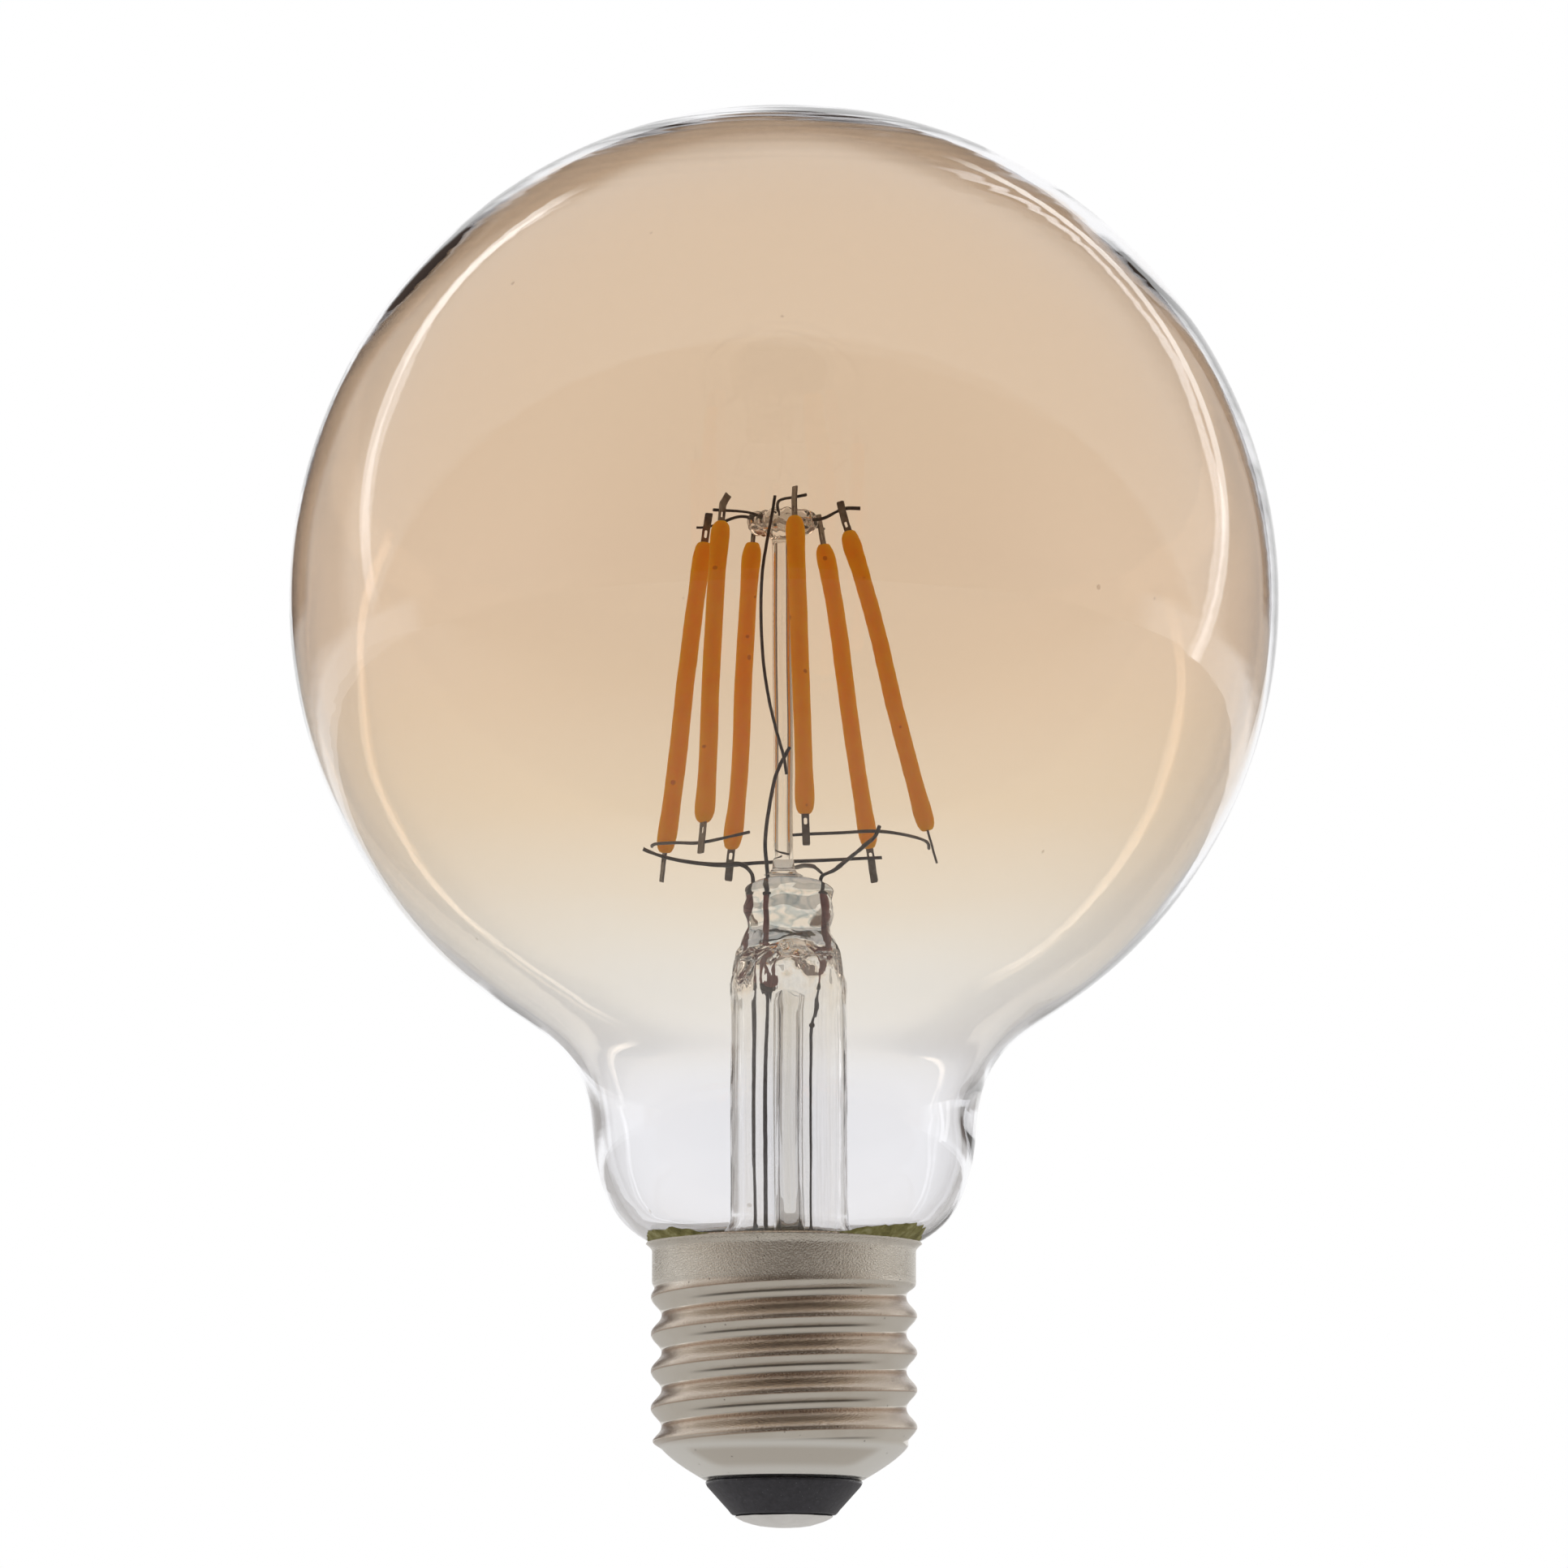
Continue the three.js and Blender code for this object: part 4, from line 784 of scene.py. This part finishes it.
# Wear on the thread; its strongest lines, by the roots and mid-flanks, are painted reflection.
wear_and_painted_reflection = nickel.ramp(
    phase, (0.0, (0.7, 0.7, 0.7)), (0.03, (0, 0, 0)), (0.42, (0, 0, 0)), (0.45, (0.85, 0.85, 0.85)),
    (0.49, (0.35, 0.35, 0.35)), (0.60, (0.45, 0.45, 0.45)), (0.84, (0.5, 0.5, 0.5)),
    (0.91, (0.75, 0.75, 0.75)), (0.95, (1, 1, 1)), (1.0, (0.7, 0.7, 0.7)))
wear_and_painted_reflection = nickel.maths("MULTIPLY", wear_and_painted_reflection, on_thread)
brassy = nickel.mixed(wear_and_painted_reflection, plate, (0.40, 0.285, 0.205))
# Painted reflection: a dark streak along the thread's valleys, on the front side only.
painted_valley_reflection = nickel.ramp(
    phase, (0.0, (0, 0, 0)), (0.16, (0, 0, 0)), (0.195, (1, 1, 1)), (0.215, (1, 1, 1)),
    (0.25, (0, 0, 0)), (1.0, (0, 0, 0)))
painted_valley_reflection = nickel.maths("MULTIPLY", nickel.maths("MULTIPLY", painted_valley_reflection, plated(deep, VALLEY_REFLECTION_FRONT)), on_thread)
brassy = nickel.mixed(nickel.maths("MULTIPLY", painted_valley_reflection, 0.8), brassy, (0.05, 0.045, 0.04))
brassy = nickel.mixed(plated_below(SKIRT_TOP), brassy, (0.86, 0.845, 0.80))
# A brown patch on the skirt, on its front side only.
front_skirt_patch = nickel.maths("MULTIPLY", plated(height, SKIRT_PATCH_FOOT), plated_below(SKIRT_PATCH_TOP))
front_skirt_patch = nickel.maths("MULTIPLY", front_skirt_patch, plated(deep, SKIRT_PATCH_FRONT))
brassy = nickel.mixed(nickel.maths("MULTIPLY", front_skirt_patch, 0.8), brassy, (0.62, 0.57, 0.50))
specks = nickel.maths("MULTIPLY", nickel.spots(700, 0.09), 0.55)
nickel.colour(nickel.mixed(specks, brassy, (0.12, 0.09, 0.07)))
nickel.roughness(cloud, 0.17, 0.26)
peel_share = nickel.maths("MAXIMUM", plated(height, PEEL_FOOT), nickel.maths("MULTIPLY", wear_and_painted_reflection, 0.8))
peel = nickel.maths("MULTIPLY", nickel.noise(6000, 2.0), peel_share)
nickel.bump(peel, 0.00014, 0.8)
nickel.bump(nickel.noise(1300, 3.0, where=nickel.scaled(1, 1, 3.5)), 0.000005, 0.5)

shell = finished("nickel_cap_shell", shell_bm, nickel.material, ["cap_shell"], sharp=180)
wall = shell.modifiers.new("Sheet", "SOLIDIFY")
wall.thickness = SHEET * MM
wall.offset = -1

# -------------------------------------------------- insulator and centre contact
# A plug of black glass fills the foot of the shell, with a fire-polished rim and a fine
# grain. The domed contact is tinned, and pressed into the plug by its shank.
INSULATOR_TOP_RADIUS = 7.6
INSULATOR_BOTTOM_RADIUS = 5.2
INSULATOR_PLUG_RADIUS = 7.2
INSULATOR_BORE = 1.4
SHANK_RADIUS = 1.25
SHANK_BORE = 0.6
FIT_GAP = 0.1

insulator_top_z, insulator_bottom_z = insulator_high.z / MM, insulator_low.z / MM
shoulder_z = shell_bottom_z - FIT_GAP
insulator_bm = spun([
    (INSULATOR_BORE, insulator_bottom_z),
    (4.85, insulator_bottom_z),
    (5.05, insulator_bottom_z + 0.04),
    (INSULATOR_BOTTOM_RADIUS + 0.02, insulator_bottom_z + 0.18),
    (5.42, insulator_bottom_z + 0.45),
    (INSULATOR_TOP_RADIUS - 0.12, shoulder_z - 0.66),
    (INSULATOR_TOP_RADIUS, shoulder_z - 0.44),
    (INSULATOR_TOP_RADIUS + 0.08, shoulder_z - 0.24),
    (INSULATOR_TOP_RADIUS + 0.03, shoulder_z - 0.08),
    (INSULATOR_TOP_RADIUS - 0.1, shoulder_z),
    (INSULATOR_PLUG_RADIUS, shoulder_z),
    (INSULATOR_PLUG_RADIUS, insulator_top_z),
    (INSULATOR_BORE, insulator_top_z),
    (INSULATOR_BORE, insulator_bottom_z),
], 96)
vitrite = Finish("black_glass_insulator", specular_ior_level=0.5)
grain = vitrite.noise(1900, 3.0, 0.6)
dark = vitrite.ramp(grain, (0.3, (0.030, 0.030, 0.038)), (0.7, (0.052, 0.052, 0.066)))
glints = vitrite.maths("MULTIPLY", vitrite.spots(2300, 0.12), 0.5)
vitrite.colour(vitrite.mixed(glints, dark, (0.28, 0.29, 0.33)))
polish = vitrite.between(vitrite.along("Z"), (shoulder_z - 0.5) * MM, (shoulder_z - 0.25) * MM)
matt = vitrite.maths("SUBTRACT", 0.52, vitrite.maths("MULTIPLY", polish, 0.36))
vitrite.join(matt, vitrite.shader.inputs["Roughness"])
vitrite.bump(grain, 0.00006, 0.6)
finished("black_insulator", insulator_bm, vitrite.material, ["cap_insulator"])

contact_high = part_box("centre_contact")[1]
contact_radius = contact_high.x / MM
contact_rim_z = insulator_bottom_z - FIT_GAP
contact_bm = spun([
    (0, 0.0), (1.0, 0.0), (1.7, 0.035), (2.64, 0.17), (3.35, 0.35), (3.95, 0.55), (4.45, 0.8),
    (4.72, 0.97), (contact_radius - 0.01, contact_rim_z - 0.06), (contact_radius - 0.06, contact_rim_z),
    (SHANK_RADIUS, contact_rim_z), (SHANK_RADIUS, contact_high.z / MM),
    (SHANK_BORE, contact_high.z / MM), (SHANK_BORE, contact_rim_z), (0, contact_rim_z)], 96)
for vert in contact_bm.verts:
    reach = math.hypot(vert.co.x, vert.co.y) / MM
    if reach > 1.3 and vert.co.z / MM < contact_rim_z - 0.02:
        vert.co.z += max(0.0, 0.05 * noise.noise(vert.co / (1.6 * MM)) + 0.02) * MM
tinned = Finish("tinned_contact", metallic=1.0)
smear = tinned.noise(500, 4.0, 0.6)
tinned.colour(tinned.ramp(smear, (0.3, (0.86, 0.85, 0.83)), (0.7, (0.97, 0.965, 0.95))))
tinned.roughness(smear, 0.28, 0.42)
tinned.bump(smear, 0.0001, 0.5)
finished("centre_contact_dome", contact_bm, tinned.material, ["centre_contact"])

# --------------------------------------------------------------------- cement
# Olive cement holds the glass in the cap. It fills the wedge inside the rim, and where too
# much was used it was squeezed out over the rim and up the glass.
CEMENT_BOTTOM_Z = 24.1
CEMENT_INNER_RADIUS = 11.5
CEMENT_FIT_RADIUS = 12.55
CEMENT_REACH = 12.75
SQUEEZED_OUT = 3.1
PATCH_TURNS = ((36, 1.0), (148, 0.7))
SHELL_RIM_Z = 27.6
GLASS_GAP = 0.06
CEMENT_ROWS = 26
shoulder_x = NECK_RADIUS - SHOULDER_RADIUS

cement_bm = spun([(1, i) for i in range(CEMENT_ROWS + 1)]
                 + [(2, CEMENT_ROWS - i) for i in range(CEMENT_ROWS + 1)], 180)
for vert in cement_bm.verts:
    angle = math.atan2(vert.co.y, vert.co.x)
    is_outer = math.hypot(vert.co.x, vert.co.y) / MM > 1.5
    share = vert.co.z / MM / CEMENT_ROWS
    around = Vector((math.cos(angle), math.sin(angle), 0))
    patch = sum(size * max(0.0, math.cos(angle + turn * DEGREES)) ** 9 for turn, size in PATCH_TURNS)
    ragged = 0.5 + 0.5 * noise.noise(around * 5) + 0.35 * noise.noise(around * 19)
    spread = CEMENT_REACH + SQUEEZED_OUT * patch * (0.55 + 0.45 * ragged) + 0.35 * max(0.0, ragged - 0.45)
    along = CEMENT_INNER_RADIUS + (spread - CEMENT_INNER_RADIUS) * share
    glass_z = SHOULDER_CENTRE_Z - math.sqrt(SHOULDER_RADIUS ** 2 - (along - shoulder_x) ** 2)
    level = glass_z - GLASS_GAP
    if is_outer:
        thickness = (0.9 if along < 12.4 else 0.26) * (1 - share ** 4) + 0.03
        lump = 0.06 * noise.noise(Vector((along * around.x, along * around.y, 3)) * 1.7)
        level -= thickness + lump * (1 - share ** 4)
        if along < CEMENT_FIT_RADIUS:
            rise = (along - CEMENT_INNER_RADIUS) / (CEMENT_FIT_RADIUS - CEMENT_INNER_RADIUS)
            level = CEMENT_BOTTOM_Z + (level - CEMENT_BOTTOM_Z) * rise
    radius = min(along, CEMENT_FIT_RADIUS) if level < SHELL_RIM_Z else along
    vert.co = Vector((around.x * radius, around.y * radius, level)) * MM
bmesh.ops.remove_doubles(cement_bm, verts=cement_bm.verts, dist=0.004 * MM)
bmesh.ops.recalc_face_normals(cement_bm, faces=cement_bm.faces)
cement = Finish("olive_cap_cement", roughness=0.85)
crumb = cement.noise(900, 5.0, 0.65)
cement.colour(cement.ramp(
    crumb, (0.3, (0.13, 0.12, 0.03)), (0.5, (0.27, 0.25, 0.085)), (0.7, (0.50, 0.48, 0.25))))
cement.bump(crumb, 0.0003, 0.8)
finished("cement_ring", cement_bm, cement.material, ["cap_cement"])

# ------------------------------------------------------------ driver in the cap
# The driver in the shell: a laminate board with rectifier, controller, choke, capacitor, radio
# module and resistor, and a sleeved wire. They keep their CAD shapes. Each row is a finish, its
# roughness, grain scale and detail, two colours, its bump, and its pieces.
HIDDEN = (
    ("green_board_laminate", 0.45, 1500, 2.0, (0.02, 0.13, 0.045), (0.035, 0.20, 0.07), 0.00003,
     ("driver_board", "radio_module")),
    ("black_chip_epoxy", 0.5, 2500, 3.0, (0.010, 0.010, 0.011), (0.022, 0.022, 0.024), 0.00003,
     ("bridge_rectifier", "controller_chip")),
    ("blue_capacitor_sleeve", 0.3, 400, 3.0, (0.014, 0.03, 0.11), (0.022, 0.045, 0.16), 0.00004,
     ("smoothing_capacitor",)),
    ("grey_ferrite", 0.7, 2200, 4.0, (0.035, 0.034, 0.036), (0.07, 0.068, 0.07), 0.00005,
     ("filter_choke",)),
    ("resistor_lacquer", 0.4, 800, 3.0, (0.30, 0.44, 0.33), (0.38, 0.52, 0.40), 0.00004,
     ("fusible_resistor",)),
    ("white_wire_sleeve", 0.5, 1200, 3.0, (0.60, 0.57, 0.50), (0.74, 0.71, 0.64), 0.00003,
     ("neutral_wire",)),
)
for name, roughness, scale, detail, dark, light, depth, places in HIDDEN:
    hidden = Finish(name, roughness=roughness)
    pattern = hidden.noise(scale, detail)
    hidden.colour(hidden.ramp(pattern, (0.3, dark), (0.7, light)))
    hidden.bump(pattern, depth)
    for place in places:
        for slot in nodes[place].material_slots:
            slot.material = hidden.material

# ------------------------------------------------------------ floor and studio
# The floor lies below the lamp, which hangs free, and darkens towards the camera. The studio
# is a white tent with a white field behind, soft light above and at the sides, darker gaps
# between them, a dim front round the camera and two bright slits.
FLOOR_Z = -0.10
FLOOR_RADIUS = 2.5
SHADE_START_Y = -0.10
SHADE_FULL_Y = -0.45
floor_bm = bmesh.new()
bmesh.ops.create_circle(floor_bm, cap_ends=True, segments=96, radius=FLOOR_RADIUS)
bmesh.ops.translate(floor_bm, verts=floor_bm.verts, vec=(0, 0, FLOOR_Z))
floor_mesh = bpy.data.meshes.new("floor")
floor_bm.to_mesh(floor_mesh)
floor_bm.free()
floor_finish = Finish("pale_floor", roughness=0.7)
paper = floor_finish.noise(300, 3.0)
pale = floor_finish.ramp(paper, (0.3, (0.83, 0.83, 0.83)), (0.7, (0.87, 0.87, 0.87)))
shade = floor_finish.between(floor_finish.along("Y"), SHADE_START_Y, SHADE_FULL_Y)
floor_finish.colour(floor_finish.mixed(shade, pale, (0.42, 0.41, 0.40)))
floor_mesh.materials.append(floor_finish.material)
floor = bpy.data.objects.new("floor", floor_mesh)
bpy.context.scene.collection.objects.link(floor)

world = bpy.data.worlds.new("studio")
bpy.context.scene.world = world
world.use_nodes = True
sky = world.node_tree
sky_in = sky.nodes["Background"]


def sky_node(kind, *values, **settings):
    """A node of the studio's light, with its inputs given in order."""
    made = sky.nodes.new(kind)
    for key, value in settings.items():
        setattr(made, key, value)
    for socket, value in zip(made.inputs, values):
        if isinstance(value, bpy.types.NodeSocket):
            sky.links.new(value, socket)
        elif value is not None:
            socket.default_value = value
    return made.outputs[0]


def step_up(value, low, high):
    """0 below a span and 1 above it."""
    return sky_node("ShaderNodeMapRange", value, low, high, 0.0, 1.0, interpolation_type="SMOOTHSTEP")


def both(a, b):
    return sky_node("ShaderNodeMath", a, b, operation="MULTIPLY")


def inverse(a):
    return sky_node("ShaderNodeMath", 1.0, a, operation="SUBTRACT")


def lit(share, below, above):
    """Light that turns from one colour or layer into another by a share."""
    made = sky.nodes.new("ShaderNodeMix")
    made.data_type = "RGBA"
    for socket, value in zip((made.inputs[0], made.inputs[6], made.inputs[7]), (share, below, above)):
        if isinstance(value, tuple):
            socket.default_value = (*value, 1)
        else:
            sky.links.new(value, socket)
    return made.outputs[2]


direction = sky.nodes.new("ShaderNodeTexCoord").outputs["Generated"]
split = sky.nodes.new("ShaderNodeSeparateXYZ")
sky.links.new(direction, split.inputs["Vector"])
east, north, up = split.outputs
azimuth = sky_node("ShaderNodeMath", east, north, operation="ARCTAN2")
elevation = sky_node("ShaderNodeMath", up, operation="ARCSINE")


def angle_step(value, degrees, soft=1.0):
    return step_up(value, (degrees - soft) * DEGREES, (degrees + soft) * DEGREES)


def dotted(vector):
    """How far the direction runs along a vector."""
    made = sky.nodes.new("ShaderNodeVectorMath")
    made.operation = "DOT_PRODUCT"
    sky.links.new(direction, made.inputs[0])
    made.inputs[1].default_value = vector
    return made.outputs["Value"]


def slit(normal, half_width):
    """1 along a thin straight line of light that lies in a plane through the lamp."""
    distance = sky_node("ShaderNodeMath", dotted(normal), operation="ABSOLUTE")
    edge, end = (math.sin(width * DEGREES) for width in (half_width, half_width + 1))
    return inverse(step_up(distance, edge, end))


# Shares that are 1 inside each part of the studio.
in_front = step_up(dotted((0, -0.64, -0.768)), -0.245, -0.215)
above_horizon = angle_step(elevation, 7.2, 1.0)
behind = step_up(north, 0.0, 0.1)
white_field = both(both(step_up(azimuth, -17.5 * DEGREES, -13.5 * DEGREES),
                        inverse(step_up(azimuth, 23 * DEGREES, 24 * DEGREES))),
                   inverse(angle_step(elevation, 32, 0.6)))
frame_edge = both(both(step_up(azimuth, -38 * DEGREES, -31 * DEGREES),
                       inverse(step_up(azimuth, 32 * DEGREES, 33 * DEGREES))),
                  inverse(angle_step(elevation, 51.5, 3.0)))
gap = both(both(frame_edge, inverse(white_field)), both(above_horizon, behind))
left_slit = both(both(slit((-0.253, -0.828, 0.501), 1.3), inverse(step_up(east, -0.4, -0.3))),
                 angle_step(elevation, 8, 9))
right_slit = both(both(slit((0.345, -0.724, 0.595), 1.0), step_up(east, 0.2, 0.3)), behind)

WHITE = (1.0, 1.0, 1.0)
REAR = (0.80, 0.79, 0.77)
DIM_REAR = (0.42, 0.40, 0.38)
SLIT = (2.5, 2.5, 2.5)
FRONT = (0.56, 0.50, 0.45)
LENS = (0.12, 0.10, 0.085)
GAP = (0.13, 0.095, 0.08)

front = lit(step_up(dotted((0.13, -0.99, 0.0)), 0.30, 0.97), FRONT, LENS)
light = lit(step_up(north, 0.45, 0.6), REAR, DIM_REAR)
light = lit(in_front, light, front)
light = lit(both(behind, inverse(angle_step(elevation, 1.0, 1.0))), light, WHITE)
light = lit(white_field, light, WHITE)
light = lit(gap, light, GAP)
light = lit(left_slit, light, SLIT)
light = lit(right_slit, light, SLIT)
seen = sky.nodes.new("ShaderNodeLightPath").outputs["Is Camera Ray"]
light = lit(seen, light, WHITE)
sky.links.new(light, sky_in.inputs["Color"])
sky_in.inputs["Strength"].default_value = 1.0

# ----------------------------------------------------------------------- camera
# The camera stands below the lamp's foot and looks slightly up at it, from 0.77 m.
CAMERA_DISTANCE = 0.7737
CAMERA_Z = -0.0341
CAMERA_TILT = 7.9
CAMERA_LENS = 181.4
camera_data = bpy.data.cameras.new("camera")
camera_data.sensor_width = 36
camera_data.lens = CAMERA_LENS
camera_data.clip_start = 0.01
camera_data.clip_end = 50
camera = bpy.data.objects.new("camera", camera_data)
camera.location = (0, -CAMERA_DISTANCE, CAMERA_Z)
camera.rotation_euler = ((90 + CAMERA_TILT) * DEGREES, 0, 0)
bpy.context.scene.collection.objects.link(camera)
bpy.context.scene.camera = camera
bpy.context.scene.view_settings.view_transform = "Standard"
bpy.context.scene.cycles.max_bounces = 28
bpy.context.scene.cycles.transmission_bounces = 28
bpy.context.scene.cycles.glossy_bounces = 10
